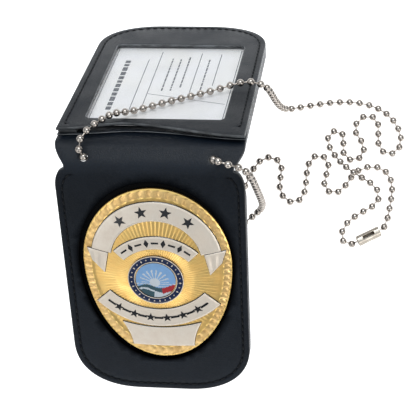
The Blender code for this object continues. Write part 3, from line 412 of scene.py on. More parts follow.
class Tree:
    """A small helper that places and links shader nodes in one node tree."""

    def __init__(self, tree: bpy.types.NodeTree) -> None:
        """Wraps a node tree."""
        self.tree = tree

    def add(self, kind: str, **settings: object) -> bpy.types.Node:
        """Places a node; a setting named in1, in2 and so on fills the socket of that number.

        Args:
            kind: The node type's name after "ShaderNode".
            settings: Properties of the node, or values and sockets for its inputs.

        Returns:
            The node.
        """
        node = self.tree.nodes.new("ShaderNode" + kind)
        for key, value in settings.items():
            if key.startswith("in") and key[2:].isdigit():
                self.feed(node.inputs[int(key[2:])], value)
            else:
                setattr(node, key, value)
        return node

    def feed(self, socket: bpy.types.NodeSocket, value: object) -> None:
        """Links a socket to an output, or sets its value.

        Args:
            socket: The input.
            value: An output, or a plain value.
        """
        if isinstance(value, bpy.types.NodeSocket):
            self.tree.links.new(value, socket)
        else:
            socket.default_value = value

    def fill(self, node: bpy.types.Node, values: dict[str, object]) -> bpy.types.Node:
        """Feeds several inputs of a node by their names.

        Args:
            node: The node.
            values: An output or a plain value for each input.

        Returns:
            The same node.
        """
        for label, value in values.items():
            self.feed(node.inputs[label], value)
        return node

    def group(self, group: bpy.types.NodeTree, **values: object) -> bpy.types.Node:
        """Places a shared group with its own values."""
        return self.fill(self.add("Group", node_tree=group), values)

    def math(self, operation: str, *values: object) -> bpy.types.NodeSocket:
        """Adds a sum of up to three values.

        Args:
            operation: The kind of sum.
            values: Its outputs or plain values.

        Returns:
            The result.
        """
        node = self.add("Math", operation=operation)
        for socket, value in zip(node.inputs, values):
            self.feed(socket, value)
        return node.outputs[0]

    def times(self, value: object, share: object) -> bpy.types.NodeSocket:
        """Multiplies two values."""
        return self.math("MULTIPLY", value, share)

    def mix(self, share: object, first: object, second: object) -> bpy.types.NodeSocket:
        """Mixes two colours by a share and returns the colour."""
        return self.add("Mix", data_type="RGBA", in0=share, in6=first, in7=second).outputs[2]

    def span(self, value: object, low: float, high: float, to_low: object, to_high: object
             ) -> bpy.types.NodeSocket:
        """Maps a value from one range to another, held inside it."""
        node = self.add("MapRange", in0=value, in1=low, in2=high, in3=to_low, in4=to_high)
        return node.outputs[0]

    def place(self) -> bpy.types.NodeSocket:
        """Returns the piece's own coordinates, in metres."""
        return self.add("TexCoord").outputs["Object"]

    def mark(self, name: str) -> bpy.types.NodeSocket:
        """Returns a number that the piece's points carry."""
        return self.add("Attribute", attribute_name=name).outputs["Fac"]

    def noise(self, scale: object, detail: float, place: bpy.types.NodeSocket | None = None
              ) -> bpy.types.Node:
        """Places a noise texture on the piece's own coordinates, or on a given place."""
        place = self.place() if place is None else place
        return self.add("TexNoise", in0=place, in2=scale, in3=detail)

    def bump(self, shader: bpy.types.Node, height: bpy.types.NodeSocket, depth: float) -> None:
        """Turns a height into the shader's normal, with the relief's real depth in metres."""
        relief = self.fill(self.add("Bump"), {"Strength": 1.0, "Distance": depth, "Height": height})
        self.feed(shader.inputs["Normal"], relief.outputs[0])


def new_group(name: str, inputs: dict[str, float | Colour], outputs: Sequence[str]
              ) -> tuple[Tree, bpy.types.Node, bpy.types.Node]:
    """Starts a shared shader group.

    Args:
        name: The group's name.
        inputs: Name and default of each input, a number or a colour.
        outputs: Name of each output. One named Color is a colour, any other is a number.

    Returns:
        A helper for the group's nodes, and its input and output nodes.
    """
    group = bpy.data.node_groups.new(name, "ShaderNodeTree")
    for label, default in inputs.items():
        kind = "NodeSocketFloat" if isinstance(default, float) else "NodeSocketColor"
        group.interface.new_socket(label, in_out="INPUT", socket_type=kind).default_value = default
    for label in outputs:
        kind = "NodeSocketColor" if label == "Color" else "NodeSocketFloat"
        group.interface.new_socket(label, in_out="OUTPUT", socket_type=kind)
    return Tree(group), group.nodes.new("NodeGroupInput"), group.nodes.new("NodeGroupOutput")


def make_grain_group() -> bpy.types.NodeTree:
    """Builds the leather grain: pebbles parted by fine folds, with pores.

    Returns:
        The group, which puts out the height and the folds.
    """
    tree, source, sink = new_group("leather_grain", {"Scale": 1100.0, "Warp": 0.4},
                                   ("Height", "Folds"))
    warped = tree.add("VectorMath", operation="SCALE", in0=tree.noise(420.0, 2.0).outputs["Color"])
    tree.feed(warped.inputs["Scale"], tree.times(source.outputs["Warp"], MM))
    moved = tree.add("VectorMath", operation="ADD", in0=tree.place(), in1=warped.outputs[0])
    cells = tree.add("TexVoronoi", feature="DISTANCE_TO_EDGE", in0=moved.outputs[0],
                     in2=source.outputs["Scale"])
    folds = tree.span(cells.outputs[0], 0.0, 0.16, 1.0, 0.0)
    pores = tree.noise(5200.0, 1.0).outputs[0]
    height = tree.math("SUBTRACT", tree.times(pores, 0.35), tree.times(folds, 0.65))
    tree.fill(sink, {"Height": height, "Folds": folds})
    return tree.tree


def make_wear_and_highlight_group() -> bpy.types.NodeTree:
    """Builds a paled edge rim: a broken line of a paler colour along the marked edges, rubbed wear
    on most finishes and a painted highlight on the burnished leather.

    Returns:
        The group, which puts out the paled colour and where it is paled.
    """
    tree, source, sink = new_group(
        "edge_wear_and_highlight", {"Base": (0.0, 0.0, 0.0, 1.0), "Rubbed": (0.1, 0.1, 0.1, 1.0), "Amount": 0.5},
        ("Color", "Mask"))
    rim = tree.mark("rim")
    broken = tree.span(tree.noise(160.0, 4.0).outputs[0], 0.38, 0.62, 0.25, 1.0)
    mask = tree.times(tree.times(rim, broken), source.outputs["Amount"])
    tree.fill(sink, {"Color": tree.mix(mask, source.outputs["Base"], source.outputs["Rubbed"]),
                     "Mask": mask})
    return tree.tree


def make_marks_group() -> bpy.types.NodeTree:
    """Builds handling marks: slow smudges and short fine scratches.

    Returns:
        The group, which puts out a roughness, a height and where the marks are.
    """
    tree, source, sink = new_group("handling_marks", {"Low": 0.2, "High": 0.4, "Scale": 120.0},
                                   ("Roughness", "Height", "Mask"))
    slow = tree.noise(source.outputs["Scale"], 3.0)
    stretched = tree.add("Mapping", in0=tree.place(), in2=(0.0, 0.0, 0.6), in3=(9.0, 1.0, 1.0))
    scratches = tree.noise(900.0, 2.0, stretched.outputs[0])
    both = tree.math("ADD", tree.times(slow.outputs[0], 0.7), tree.times(scratches.outputs[0], 0.3))
    mask = tree.span(both, 0.36, 0.64, 0.0, 1.0)
    rough = tree.span(mask, 0.0, 1.0, source.outputs["Low"], source.outputs["High"])
    tree.fill(sink, {"Roughness": rough, "Height": scratches.outputs[0], "Mask": mask})
    return tree.tree


GRAIN = make_grain_group()
WEAR_AND_HIGHLIGHT = make_wear_and_highlight_group()
MARKS = make_marks_group()


def start_material(name: str) -> tuple[bpy.types.Material, Tree, bpy.types.Node]:
    """Makes a material with a Principled shader.

    Args:
        name: The finish's name.

    Returns:
        The material, a helper for its nodes, and the shader.
    """
    made = bpy.data.materials.new(name)
    made.use_nodes = True
    return made, Tree(made.node_tree), made.node_tree.nodes["Principled BSDF"]


def shade(colour: Colour, share: float) -> Colour:
    """Returns a colour made darker, or paler up to white, by a share."""
    return (*(min(1.0, share * part) for part in colour[:3]), 1.0)


@dataclass(frozen=True)
class Leather:
    """A leather finish that paints shade on marked points: a darker colour and almost no shine."""

    name: str
    colour: Colour
    rubbed_and_highlight: Colour
    gloss: Pair = (0.34, 0.50)
    grain: float = 1300.0
    depth: float = 0.00006
    wear_and_highlight: float = 0.6
    sheen: float = 0.0
    shine: float = 0.28
    # Painted shade: whether the finish darkens and dulls the points marked dull and the seam grooves
    paints_shade: bool = True
    shade_shine: float = 0.01
    shade_tone: float = 0.1
    fold_tone: float = 0.55
    handled_tone: float = 1.5
    worn_gloss: float = -0.08

    def build(self) -> bpy.types.Material:
        """Makes the material: grain, dye settled in the folds, paled edge rims, painted shade on
        marked points.

        Returns:
            The material.
        """
        made, tree, shader = start_material(self.name)
        grain = tree.group(GRAIN, Scale=self.grain)
        marks = tree.group(MARKS, Low=self.gloss[0], High=self.gloss[1], Scale=70.0)
        dyed = tree.mix(marks.outputs["Mask"], self.colour, shade(self.colour, self.handled_tone))
        dyed = tree.mix(tree.times(grain.outputs["Folds"], 0.7), dyed,
                        shade(self.colour, self.fold_tone))
        # Paled edge rim: rubbed wear, and on the burnished leather a painted highlight
        edge_tone = tree.group(WEAR_AND_HIGHLIGHT, Base=dyed, Rubbed=self.rubbed_and_highlight, Amount=self.wear_and_highlight)
        colour, shine = edge_tone.outputs["Color"], self.shine
        # Painted shade: marked points and seam grooves, whose rim is negative, get a darker colour
        # and almost no shine
        if self.paints_shade:
            dull = tree.math("MAXIMUM", tree.mark("dull"), tree.times(tree.mark("rim"), -1.0))
            colour = tree.mix(dull, colour, shade(self.colour, self.shade_tone))
            shine = tree.span(dull, 0.0, 1.0, self.shine, self.shade_shine)
        rough = tree.math("ADD", marks.outputs["Roughness"],
                          tree.times(edge_tone.outputs["Mask"], self.worn_gloss))
        tree.fill(shader, {"Base Color": colour, "Roughness": rough, "Specular IOR Level": shine,
                           "Sheen Weight": self.sheen})
        tree.bump(shader, grain.outputs["Height"], self.depth)
        return made


@dataclass(frozen=True)
class Metal:
    """A plated or polished metal finish."""

    name: str
    colour: Colour
    tarnish: Colour
    gloss: Pair = (0.16, 0.30)
    tarnished: float = 0.5
    depth: float = 0.000006
    rubbed_tone: float = 1.15

    def build(self) -> bpy.types.Material:
        """Makes the material, with tarnish in the smudges and fine handling scratches.

        Returns:
            The material.
        """
        made, tree, shader = start_material(self.name)
        marks = tree.group(MARKS, Low=self.gloss[0], High=self.gloss[1], Scale=260.0)
        share = tree.times(marks.outputs["Mask"], self.tarnished)
        edge_tone = tree.group(WEAR_AND_HIGHLIGHT, Base=tree.mix(share, self.colour, self.tarnish),
                          Rubbed=shade(self.colour, self.rubbed_tone), Amount=0.7)
        tree.fill(shader, {"Base Color": edge_tone.outputs["Color"], "Metallic": 1.0,
                           "Roughness": marks.outputs["Roughness"]})
        tree.bump(shader, marks.outputs["Height"], self.depth)
        return made


@dataclass(frozen=True)
class Enamel:
    """Hard fired enamel or ink: a coloured surface with a slightly uneven gloss."""

    name: str
    colour: Colour
    gloss: Pair = (0.12, 0.22)
    mottle: float = 0.25
    coat: float = 0.3
    mottle_tone: float = 0.6
    depth: float = 0.000004

    def build(self) -> bpy.types.Material:
        """Makes the material, with a mottled colour and fine surface waves.

        Returns:
            The material.
        """
        made, tree, shader = start_material(self.name)
        marks = tree.group(MARKS, Low=self.gloss[0], High=self.gloss[1], Scale=420.0)
        colour = tree.mix(tree.times(marks.outputs["Mask"], self.mottle), self.colour,
                          shade(self.colour, self.mottle_tone))
        tree.fill(shader, {"Base Color": colour, "Roughness": marks.outputs["Roughness"],
                           "Coat Weight": self.coat})
        tree.bump(shader, marks.outputs["Height"], self.depth)
        return made


@dataclass(frozen=True)
class Thread:
    """Twisted sewing thread."""

    name: str
    colour: Colour
    pale_tone: float = 2.2
    gloss: Pair = (0.8, 0.5)
    shine: float = 0.22
    depth: float = 0.00005

    def build(self) -> bpy.types.Material:
        """Makes the material, with the strands' twist as slanting bands.

        Returns:
            The material.
        """
        made, tree, shader = start_material(self.name)
        twist = tree.add("TexWave", wave_type="BANDS", bands_direction="DIAGONAL", in0=tree.place(),
                         in1=1500.0, in2=1.2, in3=1.0).outputs[1]
        pale = shade(self.colour, self.pale_tone)
        tree.fill(shader, {"Base Color": tree.mix(twist, self.colour, pale),
                           "Roughness": tree.span(twist, 0.0, 1.0, *self.gloss),
                           "Specular IOR Level": self.shine})
        tree.bump(shader, twist, self.depth)
        return made


@dataclass(frozen=True)
class Card:
    """Smooth white card."""

    name: str
    colour: Colour
    yellowing: Triple = (0.97, 0.96, 0.91)
    gloss: Pair = (0.36, 0.5)
    depth: float = 0.00001

    def build(self) -> bpy.types.Material:
        """Makes the material, with paper fibre and a faint yellowing.

        Returns:
            The material.
        """
        made, tree, shader = start_material(self.name)
        marks = tree.group(MARKS, Low=self.gloss[0], High=self.gloss[1], Scale=60.0)
        aged = (*(part * share for part, share in zip(self.colour, self.yellowing)), 1.0)
        tree.fill(shader, {"Base Color": tree.mix(marks.outputs["Mask"], self.colour, aged),
                           "Roughness": marks.outputs["Roughness"]})
        tree.bump(shader, tree.noise(3000.0, 3.0).outputs[0], self.depth)
        return made


@dataclass(frozen=True)
class Film:
    """Clear soft plastic film."""

    name: str
    tint: Colour
    haze: Pair = (0.049, 0.098)
    haze_tone: float = 0.9
    gloss: Pair = (0.06, 0.2)
    ripple: float = 0.0004

    def build(self) -> bpy.types.Material:
        """Makes the material, mostly clear, with slow ripples and scuffs that show as haze.

        Returns:
            The material.
        """
        made, tree, shader = start_material(self.name)
        marks = tree.group(MARKS, Low=self.gloss[0], High=self.gloss[1], Scale=45.0)
        scuffs = marks.outputs["Mask"]
        hazy = shade(self.tint, self.haze_tone)
        tree.fill(shader, {"Base Color": tree.mix(scuffs, self.tint, hazy),
                           "Roughness": marks.outputs["Roughness"],
                           "Alpha": tree.span(scuffs, 0.0, 1.0, *self.haze)})
        tree.bump(shader, tree.noise(60.0, 1.0).outputs[0], self.ripple)
        made.surface_render_method = "BLENDED"
        return made


Finish = Leather | Metal | Enamel | Thread | Card | Film

LEATHER = Leather("leather_black", (0.0020, 0.0052, 0.0105, 1.0), (0.022, 0.030, 0.040, 1.0))
# Recess floor: a near-black, low-shine copy of the leather that paints the shade inside the badge's
# recess
SHADED_RECESS_LEATHER = Leather("leather_recess_shaded", (0.001, 0.0014, 0.002, 1.0), (0.01, 0.01, 0.01, 1.0),
                         gloss=(0.5, 0.65), wear_and_highlight=0.3, shine=0.06, paints_shade=False)
LINING = Leather("lining_black", (0.008, 0.009, 0.010, 1.0), (0.03, 0.03, 0.035, 1.0),
                 gloss=(0.55, 0.72), grain=2100.0, depth=0.00003, sheen=0.08, paints_shade=False)
EDGE = Leather("leather_edge", (0.004, 0.005, 0.007, 1.0), (0.07, 0.075, 0.08, 1.0),
               gloss=(0.32, 0.46), grain=2600.0, depth=0.00003, wear_and_highlight=0.8, shine=0.5)
# Burnished edges of the pocket plies: real gloss, and a pale rim colour that paints a highlight
# along their edges and the pocket mouths
BURNISHED_HIGHLIT = Leather("leather_burnished_highlight", (0.006, 0.007, 0.008, 1.0), (0.15, 0.16, 0.17, 1.0),
                    gloss=(0.22, 0.34), grain=2600.0, depth=0.00002, wear_and_highlight=0.9, shine=0.7)
THREAD = Thread("thread_black", (0.003, 0.0035, 0.004, 1.0))
GOLD = Metal("badge_gold", (1.0, 0.66, 0.23, 1.0), (0.96, 0.55, 0.16, 1.0), gloss=(0.28, 0.42))
ENGRAVED_GOLD = Metal("badge_gold_matt", (0.95, 0.64, 0.27, 1.0), (0.55, 0.33, 0.12, 1.0),
                      gloss=(0.30, 0.46), tarnished=0.8)
SILVER = Metal("badge_silver", (0.80, 0.72, 0.62, 1.0), (0.70, 0.60, 0.50, 1.0), gloss=(0.46, 0.60))
NICKEL = Metal("chain_nickel", (0.56, 0.51, 0.46, 1.0), (0.24, 0.19, 0.16, 1.0), gloss=(0.14, 0.26))
CLASP = Metal("clasp_nickel", (0.58, 0.53, 0.46, 1.0), (0.34, 0.29, 0.24, 1.0), gloss=(0.30, 0.44))
INK = Enamel("enamel_black", (0.010, 0.010, 0.012, 1.0), mottle=0.4)
NAVY = Enamel("enamel_blue", (0.008, 0.018, 0.060, 1.0))
SKY = Enamel("enamel_seal", (0.20, 0.36, 0.60, 1.0))
WHITE = Enamel("enamel_white", (0.52, 0.56, 0.60, 1.0))
RED = Enamel("enamel_red", (0.36, 0.025, 0.030, 1.0))
GREEN = Enamel("enamel_green", (0.040, 0.085, 0.105, 1.0))
CARD = Card("card_white", (0.90, 0.88, 0.88, 1.0))
PRINT = Enamel("card_print", (0.075, 0.075, 0.085, 1.0), gloss=(0.5, 0.6), mottle=0.5, coat=0.0)
FILM = Film("window_clear", (0.80, 0.84, 0.90, 1.0))


@cache
def skin(finish: Finish) -> bpy.types.Material:
    """Returns the finish's material, made on first use."""
    return finish.build()


@dataclass(frozen=True)
class Strap:
    """Outline of the strap: a waisted spine that widens into two long panels with round ends."""

    half: float = 0.0366
    neck: float = 0.0327
    spine_half: float = 0.0045
    taper: float = 0.0009
    shoulder: float = 0.0080
    near_length: float = 0.1030
    far_length: float = 0.1055
    far_corner: float = 0.0015
    cap_depth: float = 0.0220
    cap_flat: float = 0.0090
    cap_power: float = 2.3
    clear: float = 0.0012
    split: float = -0.0020
    seam_inset: float = 0.0026
    flap_seam_start: float = 0.0065
    curve_steps: int = 14

    def spine_edge(self, reach: float) -> float:
        """Returns the spine's half width at a distance from its middle towards the viewer."""
        share = (self.spine_half - reach) / (2 * self.spine_half)
        return self.neck + (self.half - self.neck) * math.sin(math.pi / 2 * share)

    def side(self, length: float, start: float, neck: float, shoulder: float, inset: float = 0.0
             ) -> list[Pair]:
        """Follows a panel's right edge from its crease end to the flat part of its far end.

        Args:
            length: Length of the panel.
            start: Distance of the first point from the crease.
            neck: Half width at the first point.
            shoulder: Length of the rounded widening.
            inset: Distance by which the line runs inside the edge.

        Returns:
            Pairs of distance across and down.
        """
        half = self.half - inset
        end_half = half - self.taper
        points = []
        for step in range(self.curve_steps + 1):
            turn = math.pi / 2 * step / self.curve_steps
            points.append((neck - inset + (half + inset - neck) * math.sin(turn),
                           start + shoulder * (1 - math.cos(turn))))
        for step in range(2 * self.curve_steps + 1):
            turn = math.pi / 2 * step / (2 * self.curve_steps)
            bulge = (end_half - self.cap_flat) * math.cos(turn) ** (2 / self.cap_power)
            drop = (self.cap_depth - inset) * math.sin(turn) ** (2 / self.cap_power)
            points.append((self.cap_flat + bulge, length - self.cap_depth + drop))
        return points

    def near_side(self, start: float, inset: float = 0.0) -> list[Pair]:
        """Returns the right edge of the badge panel."""
        return self.side(self.near_length, start, self.neck, self.shoulder, inset)

    def far_side(self, start: float, inset: float = 0.0) -> list[Pair]:
        """Returns the right edge of the ID flap."""
        corner = self.far_corner
        return self.side(self.far_length, start, self.half - corner, corner, inset)

    def on_spine(self, sign: int, count: int) -> list[Pair]:
        """Returns the right edge of the spine from the split to one crease, 1 near and -1 far."""
        reaches = np.linspace(self.split, sign * self.spine_half, count)
        return [(self.spine_edge(reach), sign * reach - self.spine_half) for reach in reaches]

    def near_strap(self) -> list[Pair]:
        """Returns the right edge of the near part of the strap, from the split on the spine."""
        return self.on_spine(1, 9) + self.near_side(self.clear)

    def far_strap(self) -> list[Pair]:
        """Returns the right edge of the far part of the strap, from the split on the spine."""
        flap = self.side(self.far_length, self.clear, self.half, 0.0)[self.curve_steps:]
        return self.on_spine(-1, 5) + flap

    def near_seam(self) -> list[Pair]:
        """Returns the seam round the badge panel."""
        return both_sides(self.near_side(self.clear + self.seam_inset, self.seam_inset))

    def far_seam(self) -> list[Pair]:
        """Returns the seam round the ID flap, from one end of the pocket's mouth to the other."""
        return both_sides(self.far_side(self.flap_seam_start, self.seam_inset)[1:])


def both_sides(side: Sequence[Pair]) -> list[Pair]:
    """Closes a right-hand edge with its mirror image."""
    return list(side) + [(-u, v) for u, v in reversed(side)]


def dense(points: Sequence[Pair], step: float, closed: bool = True) -> np.ndarray:
    """Spaces points evenly along each straight run of an outline and keeps its corners.

    Args:
        points: The outline.
        step: Longest distance between two points.
        closed: Whether the last point is joined to the first.

    Returns:
        Rows of two coordinates.
    """
    ends = list(points[1:]) + ([points[0]] if closed else [])
    rows = []
    for (ax, ay), (bx, by) in zip(points, ends):
        length = math.hypot(bx - ax, by - ay)
        count = 0 if length < 1e-7 else max(1, math.ceil(length / step))
        rows += [(ax + (bx - ax) * i / count, ay + (by - ay) * i / count) for i in range(count)]
    if not closed:
        rows.append(points[-1])
    return np.array(rows)


def left_of(ahead: np.ndarray) -> np.ndarray:
    """Returns the directions of length 1 to the left of rows of steps."""
    side = np.stack([-ahead[:, 1], ahead[:, 0]], axis=1)
    return side / np.maximum(np.linalg.norm(side, axis=1, keepdims=True), 1e-12)


def inward(loop: np.ndarray) -> np.ndarray:
    """Returns the direction into the material at each point of a loop that has it on its left."""
    return left_of(np.roll(loop, -1, axis=0) - np.roll(loop, 1, axis=0))


def area(loop: np.ndarray) -> float:
    """Returns the signed area of a closed loop."""
    x, y = loop.T
    return float(np.sum(x * np.roll(y, -1) - np.roll(x, -1) * y) / 2)


@dataclass
class Ply:
    """One layer of leather, with rounded edges, sunk seam lines painted in shade and a slightly
    uneven face.
    """

    name: str
    outline: Sequence[Pair]
    low: float
    top: float
    holes: Sequence[Sequence[Pair]] = ()
    seams: Sequence[Sequence[Pair]] = ()
    edge: float = 0.00035
    cut_at: float | None = None
    spacing: float = 0.0026
    sway: float = 0.00005
    seam_depth: float = 0.00016
    seam_dull: float = 0.85
    edge_steps: int = 3
    step: float = 0.0011
    row_gap: float = 0.87
    keep_clear: float = 0.45
    groove: tuple[Pair, ...] = ((0.0, 1.0), (0.00042, 0.6), (-0.00042, 0.6), (0.00095, 0.0),
                                (-0.00095, 0.0))

    def loops(self) -> list[np.ndarray]:
        """Returns the outline and the holes as even points, each with the material on its left."""
        loops = [dense(points, self.step) for points in (self.outline, *self.holes)]
        return [loop if (area(loop) > 0) == (i == 0) else loop[::-1] for i, loop in enumerate(loops)]

    def inset(self, loop: np.ndarray, distance: float) -> np.ndarray:
        """Draws a loop into the material, but along the cut end only sideways.

        Args:
            loop: The loop's points.
            distance: How far it moves.

        Returns:
            The moved points.
        """
        moved = loop + inward(loop) * distance
        if self.cut_at is not None:
            on_cut = np.abs(loop[:, 1] - self.cut_at) < 1e-6
            moved[on_cut, 1] = loop[on_cut, 1]
            limit = np.max(np.abs(loop[on_cut, 0]), initial=0.0) - distance
            moved[on_cut, 0] = np.clip(loop[on_cut, 0], -limit, limit)
        return moved

    def uneven(self, points: np.ndarray) -> np.ndarray:
        """Returns the slow rise and fall of the ply at each point."""
        u, v = points.T
        return self.sway * (np.sin(u * 91 + v * 37) + np.sin(v * 73 - u * 29 + 1.3)) / 2

    def seam_points(self) -> tuple[np.ndarray, np.ndarray]:
        """Shapes the seams' grooves.

        Returns:
            The points that form them, and how deep each one lies.
        """
        points, depths = [], []
        for seam in self.seams:
            line = dense(seam, self.step, closed=False)
            side = left_of(np.gradient(line, axis=0))
            for offset, share in self.groove:
                points.append(line + side * offset)
                depths.append(np.full(len(line), share * self.seam_depth))
        if not points:
            return np.zeros((0, 2)), np.zeros(0)
        return np.concatenate(points), np.concatenate(depths)

    def spots(self, loops: Sequence[np.ndarray], taken: np.ndarray) -> np.ndarray:
        """Spreads points over the face in staggered rows.

        Args:
            loops: The inset loops.
            taken: Points that are already there, which the new ones keep away from.

        Returns:
            Rows of two coordinates.
        """
        border = np.concatenate(loops)
        low, high = border.min(axis=0), border.max(axis=0)
        columns = np.arange(low[0] + self.spacing / 2, high[0], self.spacing)
        rows = np.arange(low[1] + self.spacing / 2, high[1], self.spacing * self.row_gap)
        spots = np.array([(x + (self.spacing / 2 if j % 2 else 0), y) for j, y in enumerate(rows)
                          for x in columns])
        spots = spots[is_inside(spots, loops)]
        near = np.array([np.min(np.hypot(*(taken - spot).T)) for spot in spots])
        return spots[near > self.spacing * self.keep_clear]

    def face(self, loops: Sequence[np.ndarray]) -> tuple[np.ndarray, list[Face], np.ndarray]:
        """Fills the area between loops with triangles.

        Args:
            loops: The inset loops.

        Returns:
            The points, the triangles, and how deep each point lies in a seam's groove.
        """
        border = np.concatenate(loops)
        grooves, depths = self.seam_points()
        spots = self.spots(loops, np.concatenate([border, grooves]))
        everything = np.concatenate([border, grooves, spots])
        sunk = np.concatenate([np.zeros(len(border)), depths, np.zeros(len(spots))])
        ties, first = [], 0
        for loop in loops:
            ties += [(first + i, first + (i + 1) % len(loop)) for i in range(len(loop))]
            first += len(loop)
        scaled = [Vector(point) for point in (everything / MM).tolist()]
        verts, _, faces, sources, _, _ = delaunay_2d_cdt(scaled, ties, [], 0, 1e-4, True)
        flat = np.array([tuple(v) for v in verts]) * MM
        depth = np.array([max((sunk[i] for i in found), default=0.0) for found in sources])
        triangles = np.array(faces)
        kept = triangles[is_inside(flat[triangles].mean(axis=1), loops)]
        return flat, [tuple(face) for face in kept.tolist()], depth

    def edge_rings(self, loop: np.ndarray) -> tuple[list[np.ndarray], list[np.ndarray]]:
        """Rounds the edge along a loop, from the top face to the lower one.

        Args:
            loop: The loop's points.

        Returns:
            Rings of (across, down, height), and how much each point belongs to the edge rim, which
            the finish pales: rubbed wear, and on the burnished leather a painted highlight.
        """
        rings, rims = [], []
        turns = [math.pi / 2 * step / self.edge_steps for step in range(self.edge_steps + 1)]
        rise = self.uneven(self.inset(loop, self.edge))
        for start, sign, order in ((self.top, -1, turns), (self.low, 1, turns[::-1])):
            for turn in order:
                level = start + sign * self.edge * (1 - math.cos(turn)) + rise
                ring = self.inset(loop, self.edge * (1 - math.sin(turn)))
                rings.append(np.column_stack([ring, level]))
                rims.append(np.full(len(loop), 0.0 if turn == 0 else 1.0))
        return rings, rims

    def build(self, bend: Callable[[np.ndarray], np.ndarray], faces: Leather, edges: Leather
              ) -> bpy.types.Object:
        """Makes the ply.

        Args:
            bend: Turns rows of (across, down, height) into frame coordinates.
            faces: The finish of its two faces.
            edges: The finish of its edges.

        Returns:
            The ply's object.
        """
        draft = MeshDraft()
        loops = self.loops()
        flat, triangles, depth = self.face([self.inset(loop, self.edge) for loop in loops])
        rise = self.uneven(flat)
        # Seam grooves get a negative rim, which the leather paints in shade
        seam = -depth / self.seam_depth * self.seam_dull
        draft.add(bend(np.column_stack([flat, self.top + rise - depth])), triangles, seam)
        under = [face[::-1] for face in triangles]
        draft.add(bend(np.column_stack([flat, self.low + rise])), under)
        for loop in loops:
            rings, rims = self.edge_rings(loop)
            draft.add(bend(np.concatenate(rings)), grid_faces(len(loop), len(rings), wrap=True),
                      np.concatenate(rims), finish=1)
        materials = [skin(faces), skin(edges)]
        return draft.build(self.name, materials, sharp=50.0, weld=2e-6)


@dataclass
class StitchRun:
    """A row of single stitches whose ends dive into the leather."""

    name: str
    path: Sequence[Pair]
    panel: Panel
    surface: float
    pitch: float = 0.0031
    gap: float = 0.0007
    radius: float = 0.00024
    sides: int = 8
    arch: float = 0.00016
    lean: float = 0.00012
    unlike: Pair = (0.8, 1.15)
    rings: int = 7
    step: float = 0.0002
    sunk: float = 1.1
    thin_end: float = 0.55

    def build(self, draw: random.Random) -> bpy.types.Object:
        """Makes the stitches.

        Args:
            draw: Source of the small differences between stitches.

        Returns:
            The stitches' object.
        """
        draft = MeshDraft()
        line = dense(self.path, self.step, closed=False)
        reach = reach_along(line)
        count = int(reach[-1] / self.pitch)
        length = self.pitch - self.gap
        shares = np.linspace(0, 1, self.rings)
        swell = np.sin(math.pi * shares)
        head, foot = self.panel.place_all(np.array([[0.0, 0.0, 1.0], [0.0, 0.0, 0.0]]))
        for index in range(count):
            spots = (index + 0.5) * reach[-1] / count - length / 2 + shares * length
            lean = draw.uniform(-self.lean, self.lean)
            u = np.interp(spots, reach, line[:, 0]) + lean * (shares - 0.5)
            v = np.interp(spots, reach, line[:, 1]) - lean * (shares - 0.5)
            arch = self.arch * draw.uniform(*self.unlike)
            foot_height = self.surface - self.radius * self.sunk
            height = foot_height + (arch + self.radius) * swell ** 0.6
            centres = self.panel.place_all(np.column_stack([u, v, height]))
            along = (centres[-1] - centres[0]) / np.linalg.norm(centres[-1] - centres[0])
            ring = ring_of(self.sides, np.cross(head - foot, along), head - foot)
            radii = self.radius * (self.thin_end + (1 - self.thin_end) * swell ** 0.5)
            points = [centre + ring * radius for centre, radius in zip(centres, radii)]
            draft.add(np.concatenate(points), tube_faces(self.sides, self.rings))
        return draft.build(self.name, [skin(THREAD)], sharp=80.0)


def cutout_loop(steps: int = 120) -> list[Pair]:
    """Draws the egg-shaped opening round the badge.

    Args:
        steps: Number of points.

    Returns:
        Pairs of distance across and down.
    """
    points = []
    for step in range(steps):
        turn = 2 * math.pi * step / steps
        reach = CUTOUT_BELOW if math.cos(turn) > 0 else CUTOUT_ABOVE
        points.append((CUTOUT_MIDDLE[0] + CUTOUT_HALF * math.sin(turn),
                       CUTOUT_MIDDLE[1] + reach * math.cos(turn)))
    return points


def round_rectangle(half: float, near: float, far: float, corner: float, steps: int = 6
                    ) -> list[Pair]:
    """Draws a rectangle with rounded corners.

    Args:
        half: Half its width.
        near: Its edge nearest the crease.
        far: Its other edge.
        corner: Radius of the corners.
        steps: Steps in each corner.

    Returns:
        Pairs of distance across and down.
    """
    points = []
    for side, down, quarter in ((1, far, 0), (-1, far, 1), (-1, near, 2), (1, near, 3)):
        centre_u = side * (half - corner)
        centre_v = down - corner if down == far else down + corner
        for step in range(steps + 1):
            turn = math.pi / 2 * (quarter + step / steps)
            points.append((centre_u + corner * math.cos(turn), centre_v + corner * math.sin(turn)))
    return points


def circle(across: float, down: float, radius: float, steps: int = 28) -> list[Pair]:
    """Returns a round hole's outline."""
    turns = [2 * math.pi * step / steps for step in range(steps)]
    return [(across + radius * math.cos(turn), down + radius * math.sin(turn)) for turn in turns]


@dataclass(frozen=True)
class Mouth:
    """The open end of a pocket's ply: how far each side lies from the crease, and its curve."""

    left: float
    right: float
    rise: float
    peak: float

    def line(self, half: float, steps: int = 40) -> list[Pair]:
        """Follows the mouth from left to right.

        Args:
            half: Half the pocket's width.
            steps: Number of steps.

        Returns:
            Pairs of distance across and down.
        """
        points = []
        for step in range(steps + 1):
            across = half * (2 * step / steps - 1)
            reach = half - self.peak if across > self.peak else half + self.peak
            swell = math.cos(math.pi / 2 * (across - self.peak) / reach) ** 2
            down = self.left + (self.right - self.left) * (across + half) / (2 * half)
            points.append((across, down + self.rise * swell))
        return points


def points_of(piece: bpy.types.Object) -> np.ndarray:
    """Returns the coordinates of a piece's points."""
    return np.array([tuple(vert.co) for vert in piece.data.vertices])


def mark_dull(piece: bpy.types.Object, shares: np.ndarray) -> None:
    """Tells the leather's finish how much painted shade each point of a piece gets, from 0 to 1."""
    marks = piece.data.attributes.new("dull", "FLOAT", "POINT")
    marks.data.foreach_set("value", shares.astype(np.float32))


